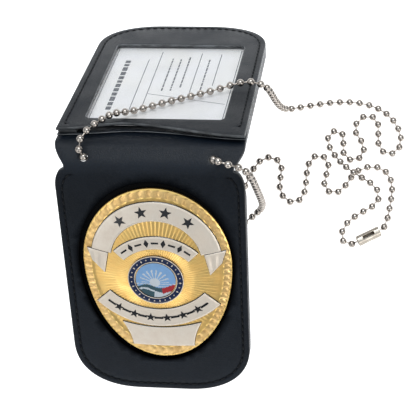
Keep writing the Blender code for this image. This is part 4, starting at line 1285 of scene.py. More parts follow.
@dataclass
class LeatherHolder:
    """The strap with its panels, the layers behind the badge, and the card pocket."""

    strap: Strap = field(default_factory=Strap)
    chain_hole: float = 0.0015
    chain_hole_spread: float = 0.0248
    chain_hole_reach: float = 0.0016
    bend_reach: float = 0.0024
    layer_start: float = 0.0062
    welt_start: float = 0.0045
    welt_half: float = 0.0290
    pocket_end: float = 0.0970
    liner_mouth: Mouth = Mouth(0.0038, 0.0020, 0.0044, -0.0050)
    frame_mouth: Mouth = Mouth(0.0030, -0.0012, 0.0068, -0.0100)
    window_half: float = 0.02695
    window_ends: Pair = (0.0124, 0.08475)
    window_corner: float = 0.0020
    # Painted shade: its width round the cut-out, its turn towards the widest part, and its share
    # down the panel and down the flap
    dull_width: Pair = (0.0022, 0.0066)
    dull_turn: float = 0.25
    dull_panel: tuple[Pair, ...] = ((0.0, 0.0), (0.004, 0.36), (0.040, 0.32), (0.100, 0.14))
    dull_frame: tuple[Pair, ...] = ((0.0, 0.36), (0.025, 0.28), (0.070, 0.14), (0.100, 0.02))

    def strap_parts(self) -> None:
        """Builds the strap in two parts that meet on the spine, each bending over its own crease."""
        strap, middle = self.strap, self.strap.spine_half
        reach = self.chain_hole_reach - middle
        holes = [circle(side * self.chain_hole_spread, reach, self.chain_hole) for side in (-1, 1)]
        near = Ply("strap_near_half", both_sides(strap.near_strap()), -STRAP_FACE, STRAP_FACE,
                   holes=[cutout_loop(), *holes], seams=[strap.near_seam()],
                   cut_at=strap.split - middle).build(NEAR_PANEL.drape_all, LEATHER, EDGE)
        self.dull_round_cutout(near)
        far = Ply("strap_far_half", both_sides(strap.far_strap()), -STRAP_FACE, STRAP_FACE,
                  cut_at=-strap.split - middle).build(FAR_PANEL.drape_all, LEATHER, EDGE)
        for piece, panel, nodes in ((near, NEAR_PANEL, ("badge_panel_front", "spine_leather")),
                                    (far, FAR_PANEL, ("flap_back",))):
            fix(piece, "spine", "leather_black", *nodes,
                bend=(panel.body, panel.crease(-self.bend_reach), panel.crease(self.bend_reach)))

    def dull_round_cutout(self, piece: bpy.types.Object) -> None:
        """Marks painted shade round the cut-out, widest above the badge, and painted shade over the
        panel that is strongest near the crease.

        Args:
            piece: The strap's near part.
        """
        panel, points = NEAR_PANEL, points_of(piece)
        run = panel.side.value * (points[:, 1] - panel.ridge_y) - panel.spine_half
        drop = panel.ridge_z - points[:, 2]
        across = points[:, 0] - CUTOUT_MIDDLE[0]
        down = run * math.cos(panel.slope) + drop * math.sin(panel.slope) - CUTOUT_MIDDLE[1]
        edge = np.hypot(across / CUTOUT_HALF, down / np.where(down > 0, CUTOUT_BELOW, CUTOUT_ABOVE))
        away = (edge - 1) * np.hypot(across, down) / np.maximum(edge, 1e-6)
        narrow, wide = self.dull_width
        above = np.clip(np.cos(np.arctan2(across, -down) - self.dull_turn), 0, 1)
        near_cut = np.clip(1 - away / (narrow + (wide - narrow) * above), 0, 1) * (drop > -0.0002)
        near_cut = near_cut ** 2 * (3 - 2 * near_cut)
        all_over = np.interp(down + CUTOUT_MIDDLE[1], *zip(*self.dull_panel)) * (drop > 0)
        mark_dull(piece, np.maximum(near_cut, all_over))

    def badge_layers(self) -> None:
        """Builds the recess floor and the lining that closes the badge panel."""
        inner = both_sides(self.strap.near_side(self.layer_start))
        floor = Ply("recess_floor", inner, CORE_LOW, CORE_TOP, edge=0.0002, sway=0.00003)
        fix(floor.build(NEAR_PANEL.place_all, SHADED_RECESS_LEATHER, EDGE), "badge_panel", "leather_black",
            "badge_panel_core")
        lining = Ply("badge_panel_lining", inner, BACK_LOW, BACK_TOP, edge=0.0003, sway=0.00004)
        fix(lining.build(NEAR_PANEL.place_all, LINING, EDGE), "badge_panel", "lining_black",
            "badge_panel_back")

    def pocket_outline(self, mouth: Mouth) -> list[Pair]:
        """Returns a pocket ply's outline: its mouth, then the flap's sides and far end."""
        side = self.strap.far_side(0.0)[self.strap.curve_steps + 1:]
        return mouth.line(self.strap.half) + both_sides(side)

    def pocket(self) -> None:
        """Builds the liner, the welt that makes room for the card, and the frame with its window."""
        liner = Ply("pocket_liner", self.pocket_outline(self.liner_mouth), LINER_LOW, LINER_TOP,
                    edge=0.00015, sway=0.00003)
        fix(liner.build(FAR_PANEL.place_all, LEATHER, BURNISHED_HIGHLIT), "id_flap", "leather_black",
            "flap_liner")
        inner = [(-self.welt_half, self.welt_start), (-self.welt_half, self.pocket_end),
                 (self.welt_half, self.pocket_end), (self.welt_half, self.welt_start)]
        outer = both_sides(self.strap.far_side(self.welt_start))
        welt = Ply("pocket_filler", outer + inner, WELT_LOW, WELT_TOP, edge=0.0002, sway=0.00003)
        fix(welt.build(FAR_PANEL.place_all, LINING, EDGE), "id_flap", "lining_black", "pocket_welt")
        window = round_rectangle(self.window_half, *self.window_ends, self.window_corner)
        frame_ply = Ply("window_frame", self.pocket_outline(self.frame_mouth), FRAME_LOW, FRAME_TOP,
                        holes=[window], seams=[self.strap.far_seam()], seam_dull=0.6)
        piece = frame_ply.build(FAR_PANEL.place_all, LEATHER, BURNISHED_HIGHLIT)
        # Painted shade on the frame, strongest near the crease and fading towards the far end
        down = (FAR_PANEL.ridge_z - points_of(piece)[:, 2]) / math.sin(FAR_PANEL.slope)
        mark_dull(piece, np.interp(down, *zip(*self.dull_frame)))
        fix(piece, "id_flap", "leather_black", "flap_frame")

    def stitches(self) -> None:
        """Sews both panels."""
        draw = random.Random(7)
        near = StitchRun("badge_panel_stitches", self.strap.near_seam(), NEAR_PANEL,
                         STRAP_FACE - THREAD_SINK)
        fix(near.build(draw), "badge_panel", "thread_black", "badge_panel_stitching")
        far = StitchRun("flap_stitches", self.strap.far_seam(), FAR_PANEL, FRAME_TOP - THREAD_SINK)
        fix(far.build(draw), "id_flap", "thread_black", "flap_stitching")

    def build(self) -> None:
        """Builds all the leather and its stitching."""
        self.strap_parts()
        self.badge_layers()
        self.pocket()
        self.stitches()


def egg_share(u: np.ndarray, v: np.ndarray) -> np.ndarray:
    """Measures how far out on the badge points lie.

    Args:
        u: Their distances across the panel.
        v: Their distances down it.

    Returns:
        The distance from the badge's middle as a share of its outline.
    """
    down = v - BADGE_MIDDLE[1]
    half = np.where(down > 0, BADGE_BELOW, BADGE_ABOVE)
    return np.hypot((u - BADGE_MIDDLE[0]) / BADGE_HALF, down / half)


def near_rows(u: np.ndarray, v: np.ndarray, lift: np.ndarray | float) -> np.ndarray:
    """Returns frame coordinates of points that stand a given height over the badge's dome."""
    dome = DOME_FOOT + DOME_RISE * (1 - egg_share(u, v) ** DOME_POWER)
    return NEAR_PANEL.place_all(np.column_stack([u, v, dome + lift]))


def round_seal(reach: np.ndarray | float, turns: np.ndarray, lift: float) -> np.ndarray:
    """Returns frame coordinates of a ring of points round the seal, over the badge's dome."""
    u, v = SEAL_CENTRE[0] + reach * np.sin(turns), SEAL_CENTRE[1] - reach * np.cos(turns)
    return near_rows(u, v, lift)


def closed_form(front: np.ndarray, rings: Sequence[np.ndarray], back: np.ndarray
                ) -> tuple[np.ndarray, list[Face]]:
    """Closes rings of points with a middle point before and behind them.

    Args:
        front: The middle point of the face, as one row.
        rings: The rings from the face's middle outwards, then back in on the other side.
        back: The middle point of the back.

    Returns:
        The points and the faces between them, ring by ring.
    """
    count = len(rings[0])
    last = 1 + (len(rings) - 1) * count
    ties = list(zip(range(count), [*range(1, count), 0]))
    faces = [(0, 1 + j, 1 + i) for i, j in ties]
    faces += shifted(grid_faces(count, len(rings), wrap=True), 1)
    faces += [(last + count, last + i, last + j) for i, j in ties]
    return np.concatenate([front, *rings, back]), faces


@dataclass(frozen=True)
class Ring:
    """One ring of points of the badge's face."""

    reach: np.ndarray
    lift: np.ndarray
    rim: np.ndarray
    engraved: bool = False


@dataclass
class BadgeShell:
    """The gold egg-shaped badge: struck rays round the seal and an engraved leafy border."""

    rays: int = 96
    points_per_ray: int = 4
    field_rings: int = 18
    border_rings: int = 12
    border_share: float = 0.875
    ray_height: float = 0.00015
    leaf_height: float = 0.00032
    leaf_span: Pair = (0.12, 0.86)
    leaves: int = 64
    bead_height: float = 0.00018
    beads: tuple[Pair, Pair] = ((0.07, 0.06), (0.90, 0.07))
    bright: float = 0.4
    wall: float = 0.0010
    back: tuple[float, ...] = (1.0, 0.97, 0.8, 0.5)
    far_out: float = 0.08

    def reach(self, turns: np.ndarray, share: float) -> np.ndarray:
        """Finds how far out from the seal a share of the outline lies in each direction.

        Args:
            turns: Directions round the seal.
            share: Share of the badge's outline.

        Returns:
            The distance in each direction.
        """
        low, high = np.zeros(len(turns)), np.full(len(turns), self.far_out)
        for _ in range(40):
            half = (low + high) / 2
            inside = egg_share(SEAL_CENTRE[0] + half * np.sin(turns),
                               SEAL_CENTRE[1] - half * np.cos(turns)) < share
            low, high = np.where(inside, half, low), np.where(inside, high, half)
        return (low + high) / 2

    def leaf_relief(self, turns: np.ndarray, across: float) -> np.ndarray:
        """Shapes the border's leaves, which lean and curl between two raised lines.

        Args:
            turns: Directions round the seal.
            across: Place across the border, from its inner line at 0 to the outer one at 1.

        Returns:
            Height at each direction.
        """
        phase = (turns / (2 * math.pi) * self.leaves + 0.35 * math.sin(math.pi * across)) % 1.0
        width = 0.16 + 0.34 * math.sin(math.pi * min(1.0, across * 1.05)) ** 0.8
        leaf = np.clip(1 - (np.abs(phase - 0.5) / width) ** 2, 0, 1)
        vein = 0.35 * np.exp(-((phase - 0.5) / 0.06) ** 2)
        return self.leaf_height * (leaf - vein * leaf) * math.sin(math.pi * across) ** 0.5

    def shape_field(self, inner: np.ndarray) -> list[Ring]:
        """Shapes the field with its struck rays, which fade towards the seal and the border.

        Args:
            inner: How far the field reaches in each direction.

        Returns:
            Its rings from the middle outwards.
        """
        spots = np.arange(len(inner)) % self.points_per_ray / self.points_per_ray
        ray = np.abs(spots - 0.5) * 2
        rings = []
        for share in np.arange(1, self.field_rings + 1) / self.field_rings:
            fade = min(1.0, 4 * (1 - share) + 0.25) * min(1.0, 3 * share)
            rings.append(Ring(inner * share, self.ray_height * ray * fade, self.bright * ray * fade))
        return rings

    def shape_border(self, turns: np.ndarray, inner: np.ndarray, outer: np.ndarray) -> list[Ring]:
        """Shapes the border with its two raised lines and the leaves between them.

        Args:
            turns: Directions round the seal.
            inner: How far out the border starts in each direction.
            outer: How far out it ends.

        Returns:
            Its rings from the inner line outwards.
        """
        rings = []
        for across in np.arange(1, self.border_rings + 1) / self.border_rings:
            bead = max(math.exp(-((across - place) / width) ** 2) for place, width in self.beads)
            leafy = self.leaf_span[0] < across < self.leaf_span[1]
            relief = self.leaf_relief(turns, across) if leafy else np.zeros(len(turns))
            rings.append(Ring(inner + (outer - inner) * across, relief + self.bead_height * bead,
                              bead + relief / self.leaf_height * self.bright, leafy))
        return rings

    def build(self) -> None:
        """Builds the badge's shell with its back and rim."""
        columns = self.rays * self.points_per_ray
        turns = turns_of(columns)
        inner, outer = self.reach(turns, self.border_share), self.reach(turns, 1.0)
        rings = self.shape_field(inner) + self.shape_border(turns, inner, outer)
        rows = [round_seal(ring.reach, turns, ring.lift) for ring in rings]
        rows += [round_seal(outer * share, turns, -self.wall) for share in self.back]
        centre, back = (round_seal(0.0, np.zeros(1), height) for height in (0.0, -self.wall))
        engraved = [a.engraved and b.engraved for a, b in zip(rings, rings[1:])]
        engraved = [False, *engraved, *[False] * len(self.back), False]
        plain = np.zeros(columns * len(self.back) + 1)
        rim = np.concatenate([[0.0], *(ring.rim for ring in rings), plain])
        draft = MeshDraft()
        draft.add(*closed_form(centre, rows, back), np.clip(rim, 0, 1))
        draft.finishes = np.repeat(engraved, columns).astype(int).tolist()
        shell = draft.build("badge_shell", [skin(GOLD), skin(ENGRAVED_GOLD)], sharp=32.0)
        fix(shell, "badge_panel", "badge_gold", "badge_body")


@dataclass
class StruckPiece:
    """A thin silver piece that follows the dome, with a raised border round a sunk field."""

    name: str
    node: str
    place: Place
    columns: int
    rows: int
    border: float = 0.00055
    low: float = 0.00022
    top: float = 0.00062
    raised: float = 0.00007
    line: float = 0.42
    rounding: float = 0.00014
    wave: float = 0.0
    waves: float = 5.0
    shadow_skirt: float = 0.00020

    def build(self) -> bpy.types.Object:
        """Builds the piece.

        Returns:
            The piece, which rides on the badge panel.
        """
        shares_a = np.linspace(0, 1, self.columns + 1)
        shares_b = np.linspace(0, 1, self.rows + 1)
        flat = np.array([[self.place(a, b) for a in shares_a] for b in shares_b])
        u, v = flat[..., 0], flat[..., 1]
        along = np.hypot(np.diff(u, axis=1), np.diff(v, axis=1)).sum(axis=1).mean()
        across = np.hypot(np.diff(u, axis=0), np.diff(v, axis=0)).sum(axis=0).mean()
        a, b = np.meshgrid(shares_a, shares_b)
        edge = np.minimum(np.minimum(a, 1 - a) * along, np.minimum(b, 1 - b) * across)
        line = np.exp(-((edge - self.border) / (self.border * self.line)) ** 2)
        lift = self.top + self.raised * line - self.rounding * (edge < 1e-6)
        lift = lift + self.wave * np.sin(a * self.waves * math.pi) * np.sin(math.pi * b)
        size = (self.rows + 1) * (self.columns + 1)
        top = near_rows(u.ravel(), v.ravel(), lift.ravel())
        low = near_rows(u.ravel(), v.ravel(), self.low)
        draft = MeshDraft()
        faces = grid_faces(self.columns + 1, self.rows + 1)
        border = self.border_indices()
        low[border] = self.shadow_skirt_points(np.column_stack([u.ravel(), v.ravel()])[border])
        walls = [(i, j, j + size, i + size) for i, j in zip(border, border[1:] + border[:1])]
        under = [tuple(k + size for k in reversed(face)) for face in faces]
        rim = np.concatenate([np.clip(line.ravel(), 0, 1) * 0.5, np.zeros(size)])
        draft.add(np.concatenate([top, low]), faces + walls + under, rim)
        # Walls and underside in black enamel, which also paint the shadow line round the piece's
        # foot
        draft.finishes = [0] * len(faces) + [1] * (len(walls) + len(under))
        piece = draft.build(self.name, [skin(SILVER), skin(INK)], sharp=34.0)
        return fix(piece, "badge_panel", "badge_silver", self.node)

    def shadow_skirt_points(self, loop: np.ndarray) -> np.ndarray:
        """Spreads the foot of the piece's edge outwards, so that its black side shows as a line:
        black enamel, and a painted shadow along the piece's foot.
        """
        foot = loop - inward(loop) * math.copysign(self.shadow_skirt, area(loop))
        return near_rows(*foot.T, self.low)

    def border_indices(self) -> list[int]:
        """Returns the indices of the grid's border points, in order round it."""
        grid = np.arange((self.rows + 1) * (self.columns + 1)).reshape(self.rows + 1, -1)
        return np.concatenate([grid[0], grid[1:, -1], grid[-1, -2::-1], grid[-2:0:-1, 0]]).tolist()


class Mark(Enum):
    """The plain ornaments that stand on the ribbons and round the seal."""

    STAR = "star"
    DASH = "dash"
    DIAMOND = "diamond"
    DOT = "dot"


STAR_WAIST, DIAMOND_HALF, DASH_SHAPE = 0.42, 0.55, (0.9, 0.24)


def mark_outline(mark: Mark, size: float) -> list[Pair]:
    """Draws an ornament about its own middle.

    Args:
        mark: The kind of ornament.
        size: Its half height.

    Returns:
        Pairs of coordinates.
    """
    if mark is Mark.STAR:
        reaches = [size, size * STAR_WAIST] * 5
        return [(reach * math.sin(math.pi * i / 5), reach * math.cos(math.pi * i / 5))
                for i, reach in enumerate(reaches)]
    if mark is Mark.DASH:
        long, short = size * DASH_SHAPE[0], size * DASH_SHAPE[1]
        return [(-long, -short), (long, -short), (long, short), (-long, short)]
    if mark is Mark.DIAMOND:
        half = size * DIAMOND_HALF
        return [(half, 0.0), (0.0, size), (-half, 0.0), (0.0, -size)]
    return circle(0.0, 0.0, size, 12)


def add_mark(draft: MeshDraft, mark: Mark, middle: Pair, size: float, turn: float, heights: Pair
             ) -> None:
    """Adds one raised ornament on the dome.

    Args:
        draft: The draft that takes it.
        mark: The kind of ornament.
        middle: Where it stands, across and down the panel.
        size: Its half height.
        turn: How far it turns with its ribbon.
        heights: Heights of its foot and its face over the dome.
    """
    x, y = np.array(mark_outline(mark, size)).T
    a = middle[0] + x * math.cos(turn) + y * math.sin(turn)
    b = middle[1] + x * math.sin(turn) - y * math.cos(turn)
    back, front = (near_rows(*np.array(middle)[:, None], height) for height in heights)
    rings = [near_rows(a, b, height) for height in heights]
    draft.add(*closed_form(back, rings, front))


@dataclass(frozen=True)
class Ribbon:
    """A bent silver ribbon with a row of ornaments. Side -1 arches up, 1 hangs down."""

    name: str
    shift: float
    centre: float
    radii: Pair
    sweep: float
    side: int
    columns: int
    rows: int
    marks: Sequence[tuple[Mark, float]]
    marks_sweep: float
    border: float = 0.00055

    def point(self, turn: float, radius: float) -> Pair:
        """Returns the place on the panel at an angle and a radius."""
        down = self.side * radius * math.cos(turn)
        return self.shift + radius * math.sin(turn), self.centre + down

    def place(self, along: float, across: float) -> Pair:
        """Returns the place on the panel at shares along and across the ribbon."""
        radius = self.radii[0] + (self.radii[1] - self.radii[0]) * across
        return self.point(math.radians(self.sweep) * (2 * along - 1), radius)

    def build(self) -> None:
        """Builds the ribbon without its ornaments."""
        StruckPiece(self.name, "badge_" + self.name, self.place, self.columns, self.rows,
                    self.border).build()

    def add_marks(self, draft: MeshDraft, heights: Pair) -> None:
        """Spaces the ornaments evenly along the ribbon.

        Args:
            draft: The draft that takes them.
            heights: Heights of their feet and faces over the dome.
        """
        for index, (mark, size) in enumerate(self.marks):
            turn = math.radians(self.marks_sweep) * (2 * (index + 0.5) / len(self.marks) - 1)
            middle = self.point(turn, sum(self.radii) / 2)
            add_mark(draft, mark, middle, size, -self.side * turn, heights)


DASH, LONG_DASH, DIAMOND = (Mark.DASH, 0.0016), (Mark.DASH, 0.0020), (Mark.DIAMOND, 0.0018)
STAR, LARGE_STAR = (Mark.STAR, 0.0021), (Mark.STAR, 0.0026)


@dataclass
class Ribbons:
    """The silver ribbons with their folded tails, the blank plate, and the ornament on them."""

    top: Ribbon = Ribbon("ribbon_top", 0.0009, 0.0405, (0.0180, 0.0258), 80.0, -1, 96, 16,
                         [LARGE_STAR] * 4, 50.0)
    title: Ribbon = Ribbon("ribbon_title", 0.0009, 0.0520, (0.0174, 0.0228), 47.0, -1, 64, 12,
                           [DASH, DIAMOND] * 4 + [DASH], 43.0, 0.00042)
    lower: Ribbon = Ribbon("ribbon_lower", 0.0003, 0.0361, (0.0266, 0.0349), 45.0, 1, 88, 16,
                           [LONG_DASH, STAR] * 6 + [LONG_DASH], 40.0)
    tail_lengths: Pair = (0.0091, 0.0054)
    tail_leans: Pair = (0.0019, -0.0017)
    tail_shares: Pair = (0.16, 1.25)
    plate_left: float = 0.0112
    plate_right: float = 0.0136
    plate_low: float = 0.0812
    plate_scroll: float = 0.0034
    plate_arch: float = 0.0026
    plate_gap: float = 0.0008
    print_heights: Pair = (0.00050, 0.00068)

    def tail_place(self, side: int, along: float, across: float) -> Pair:
        """Lays out a folded tail, which narrows to a point.

        Args:
            side: -1 for the left tail, 1 for the right one.
            along: Share along the tail.
            across: Share from its inner edge to its outer one.

        Returns:
            The place on the panel.
        """
        top, turn = self.top, math.radians(self.top.sweep)
        spans = (self.tail_leans, self.tail_lengths, self.tail_shares)
        lean, down, share = (a + (b - a) * along for a, b in spans)
        radius = top.radii[0] + (top.radii[1] - top.radii[0]) * share
        drop = SEAT_GAP / math.sin(turn) - radius * math.cos(turn)
        return (top.shift + side * (radius * math.sin(turn) + lean * across),
                top.centre + drop + down * across)

    def plate_place(self, along: float, across: float) -> Pair:
        """Lays out the blank plate, whose upper ends spread into scrolls.

        Args:
            along: Share along the plate.
            across: Share across it.

        Returns:
            The place on the panel.
        """
        scroll = self.plate_scroll * (1 - across) ** 2
        left, right = -self.plate_left - scroll, self.plate_right + scroll
        u = left + (right - left) * along
        bend = (u - self.lower.shift) / (self.plate_right + self.plate_scroll)
        near = self.lower.centre + self.lower.radii[1] + self.plate_gap - self.plate_arch * bend ** 2
        return u, near + (self.plate_low - near) * across

    def build(self) -> None:
        """Builds every ribbon, tail and plate, and the ornament on them."""
        draft = MeshDraft()
        for ribbon in (self.top, self.title, self.lower):
            ribbon.build()
            ribbon.add_marks(draft, self.print_heights)
        for side, label in ((-1, "left"), (1, "right")):
            StruckPiece("ribbon_tail_" + label, "badge_tail_" + label,
                        partial(self.tail_place, side), 22, 24, border=0.00045, wave=0.00016).build()
        StruckPiece("number_plate", "badge_number_plate", self.plate_place, 64, 22,
                    border=0.0006).build()
        fix(draft.build("ribbon_ornament", [skin(INK)], sharp=30.0), "badge_panel", "enamel_blue")


class Cell(Enum):
    """The enamels of the seal's picture, in the order of the disc's materials."""

    WHITE = 0
    SKY = 1
    RED = 2
    GREEN = 3


@dataclass
class Seal:
    """The enamelled seal: a dark ring with rims and dots round a plain picture of a sunrise."""

    outer: float = 0.0110
    inner: float = 0.0082
    low: float = 0.00022
    top: float = 0.00068
    rounding: float = 0.0001
    rim_halves: Pair = (0.00016, 0.00013)
    rim_insets: Pair = (0.00010, 0.00025)
    bevels: Pair = (0.0004, 0.0005)
    dot_sizes: Pair = (0.00026, 0.00058)
    columns: int = 96
    disc_rings: int = 22
    disc_rise: float = 0.00012
    dots: int = 28
    sun: Pair = (-0.05, 0.12)

    def ring(self, draft: MeshDraft, profile: Sequence[Pair]) -> None:
        """Adds a turned ring that follows the dome.

        Args:
            draft: The draft that takes it.
            profile: Pairs of radius and height over the dome, round the closed section.
        """
        turns = turns_of(self.columns)
        rows = [round_seal(radius, turns, lift) for radius, lift in [*profile, profile[0]]]
        draft.add(np.concatenate(rows), grid_faces(self.columns, len(rows), wrap=True))

    def cell(self, u: float, v: float) -> Cell:
        """Tells which enamel covers a point of the picture: sun and rays, water, hills or shore.

        Args:
            u: How far right of the middle the point lies, as a share of the radius.
            v: How far below the middle.

        Returns:
            The enamel.
        """
        shore = 0.34 + 0.10 * math.sin(u * 4.2 + 0.6)
        if v > shore:
            if u > 0.30 and v < shore + 0.34:
                return Cell.RED
            pale = abs(v - shore - 0.30 - 0.12 * u) < 0.055 or (v > 0.72 and u > -0.1)
            return Cell.WHITE if pale else Cell.GREEN
        right, below = u - self.sun[0], v - self.sun[1]
        from_sun = math.hypot(right, below)
        ray = abs((math.atan2(right, -below) * 9 / math.pi) % 1.0 - 0.5) < 0.17
        ripple = below > 0 and abs((v * 7) % 1.0 - 0.5) < 0.13
        lit = from_sun < 0.26 or (below < 0 and from_sun < 0.74 and ray) or ripple
        return Cell.WHITE if lit else Cell.SKY

    def build(self) -> None:
        """Builds the ring, its rims and dots, and the disc."""
        dark, gold = MeshDraft(), MeshDraft()
        shoulder, foot = self.top - self.rounding, self.inner + self.rounding
        rims = (self.outer - self.bevels[0], self.inner + self.bevels[1])
        self.ring(dark, [(self.outer, self.low), (self.outer, shoulder), (rims[0], self.top),
                         (rims[1], self.top), (foot, shoulder), (foot, self.low)])
        fix(dark.build("seal_ring", [skin(NAVY)], weld=1e-6), "badge_panel", "enamel_blue",
            "badge_seal_ring")
        lines = (self.outer - self.rim_insets[0], self.inner + self.rim_insets[1])
        for radius, half in zip(lines, self.rim_halves):
            self.ring(gold, [(radius + half * math.cos(t), self.top + 0.00004 + half * math.sin(t))
                             for t in turns_of(8)])
        middle = (self.outer + self.inner) / 2 + 0.0001
        for index in range(self.dots):
            turn = 2 * math.pi * (index + 0.5) / self.dots
            mark, size = ((Mark.DOT, Mark.DIAMOND)[index % 2], self.dot_sizes[index % 2])
            place = (SEAL_CENTRE[0] + middle * math.sin(turn),
                     SEAL_CENTRE[1] - middle * math.cos(turn))
            add_mark(gold, mark, place, size, turn, (shoulder, self.top + self.rounding))
        fix(gold.build("seal_rims", [skin(SILVER)], weld=1e-7), "badge_panel", "badge_silver")
        self.disc()

    def disc(self) -> None:
        """Builds the picture disc as enamel cells on one slightly domed form."""
        rings, columns, radius = self.disc_rings, self.columns, self.inner - SEAT_GAP
        turns = turns_of(columns)
        rows = [round_seal(radius * share, turns, self.top + self.disc_rise * (1 - share * share))
                for share in np.arange(1, rings + 1) / rings]
        rows.append(round_seal(radius, turns, self.low))
        front, back = (round_seal(0.0, np.zeros(1), lift)
                       for lift in (self.top + self.disc_rise, self.low))
        draft = MeshDraft()
        draft.add(*closed_form(front, rows, back))
        for index in range(rings * columns):
            share = (index // columns + 0.5) / rings
            turn = 2 * math.pi * (index % columns + 0.5) / columns
            cell = self.cell(share * math.sin(turn), -share * math.cos(turn))
            draft.finishes[index] = cell.value
        disc = draft.build("seal_disc", [skin(f) for f in (WHITE, SKY, RED, GREEN)], sharp=30.0)
        fix(disc, "badge_panel", "enamel_seal", "badge_seal_disc")


@dataclass(frozen=True)
class BarRow:
    """A row of printed bars of unlike lengths down the card; a late one starts a little lower."""

    across: float
    span: Pair
    lengths: Pair
    width: float
    gap: float
    late: float = 0.0


@dataclass
class CardPrint:
    """The printing on the card: ruled lines and bars in place of words."""

    low: float = CARD_TOP + 0.00002
    top: float = CARD_TOP + 0.00004
    thin: float = 0.00030
    rules: tuple[Triple, ...] = (
        (-0.0120, 0.0220, 0.0735), (-0.0074, 0.0275, 0.0815), (0.0095, 0.0370, 0.0805),
        (0.0178, 0.0480, 0.0795), (-0.0264, 0.0130, 0.0840), (0.0258, 0.0130, 0.0840),
    )
    slant: tuple[Pair, Pair] = ((-0.0070, 0.0395), (0.0250, 0.0305))
    heading: BarRow = BarRow(-0.0205, (0.0240, 0.0700), (0.0020, 0.0042), 0.0021, 0.0010)
    small_rows: tuple[float, ...] = (-0.0020, 0.0015, 0.0050, 0.0135)

    def bar(self, draft: MeshDraft, start: Pair, end: Pair, width: float) -> None:
        """Adds one printed bar.

        Args:
            draft: The draft that takes it.
            start: Its first end, across and down.
            end: Its other end.
            width: Its width.
        """
        a, b = np.array(start), np.array(end)
        side = left_of((b - a)[None, :])[0] * width / 2
        flat = np.array([a - side, b - side, b + side, a + side])
        rows = [np.column_stack([flat, np.full(4, height)]) for height in (self.low, self.top)]
        faces = [(3, 2, 1, 0), (4, 5, 6, 7)] + grid_faces(4, 2, wrap=True)
        draft.add(FAR_PANEL.place_all(np.concatenate(rows)), faces)

    def build(self) -> None:
        """Builds the lines, the sideways heading's bars and the small rows."""
        draft, draw = MeshDraft(), random.Random(11)
        for across, start, end in self.rules:
            self.bar(draft, (across, start), (across, end), self.thin)
        self.bar(draft, *self.slant, self.thin)
        small = [BarRow(across, (0.0420, 0.0740), (0.0012, 0.0034), 0.00062, 0.0007, 0.004)
                 for across in self.small_rows]
        for row in (self.heading, *small):
            down = row.span[0] + (draw.uniform(0, row.late) if row.late else 0)
            while down < row.span[1]:
                length = draw.uniform(*row.lengths)
                self.bar(draft, (row.across, down), (row.across, down + length), row.width)
                down += length + row.gap
        fix(draft.build("card_print", [skin(PRINT)]), "id_card", "card_white")


def spline_samples(points: Sequence[Triple]) -> np.ndarray:
    """Reads a uniform cubic B-spline through the run of given points, as the CAD source does.

    Args:
        points: The route's points.

    Returns:
        Rows of frame coordinates.
    """
    run = np.array(points)
    run = np.concatenate([[2 * run[0] - run[1]], run, [2 * run[-1] - run[-2]]])
    t = (np.arange(SPAN_SAMPLES) / SPAN_SAMPLES)[:, None]
    rows = [((1 - t) ** 3 * a + (3 * t ** 3 - 6 * t ** 2 + 4) * b
             + (1 + 3 * t + 3 * t ** 2 - 3 * t ** 3) * c + t ** 3 * d) / 6
            for a, b, c, d in zip(run, run[1:], run[2:], run[3:])]
    return np.concatenate([*rows, run[-2:-1]])


def at(spots: np.ndarray, reach: np.ndarray, samples: np.ndarray) -> np.ndarray:
    """Returns the points that lie at given distances along a line of samples."""
    return np.column_stack([np.interp(spots, reach, column) for column in samples.T])


@dataclass(frozen=True)
class Stretch:
    """One stretch of the chain: its piece, its CAD node, its route and how it moves."""

    name: str
    node: str
    route: Sequence[Triple]
    body: str = "spine"
    blend_to: str | None = None
    blend_span: Pair = (0.0, 1.0)
    far_end: str = "object"


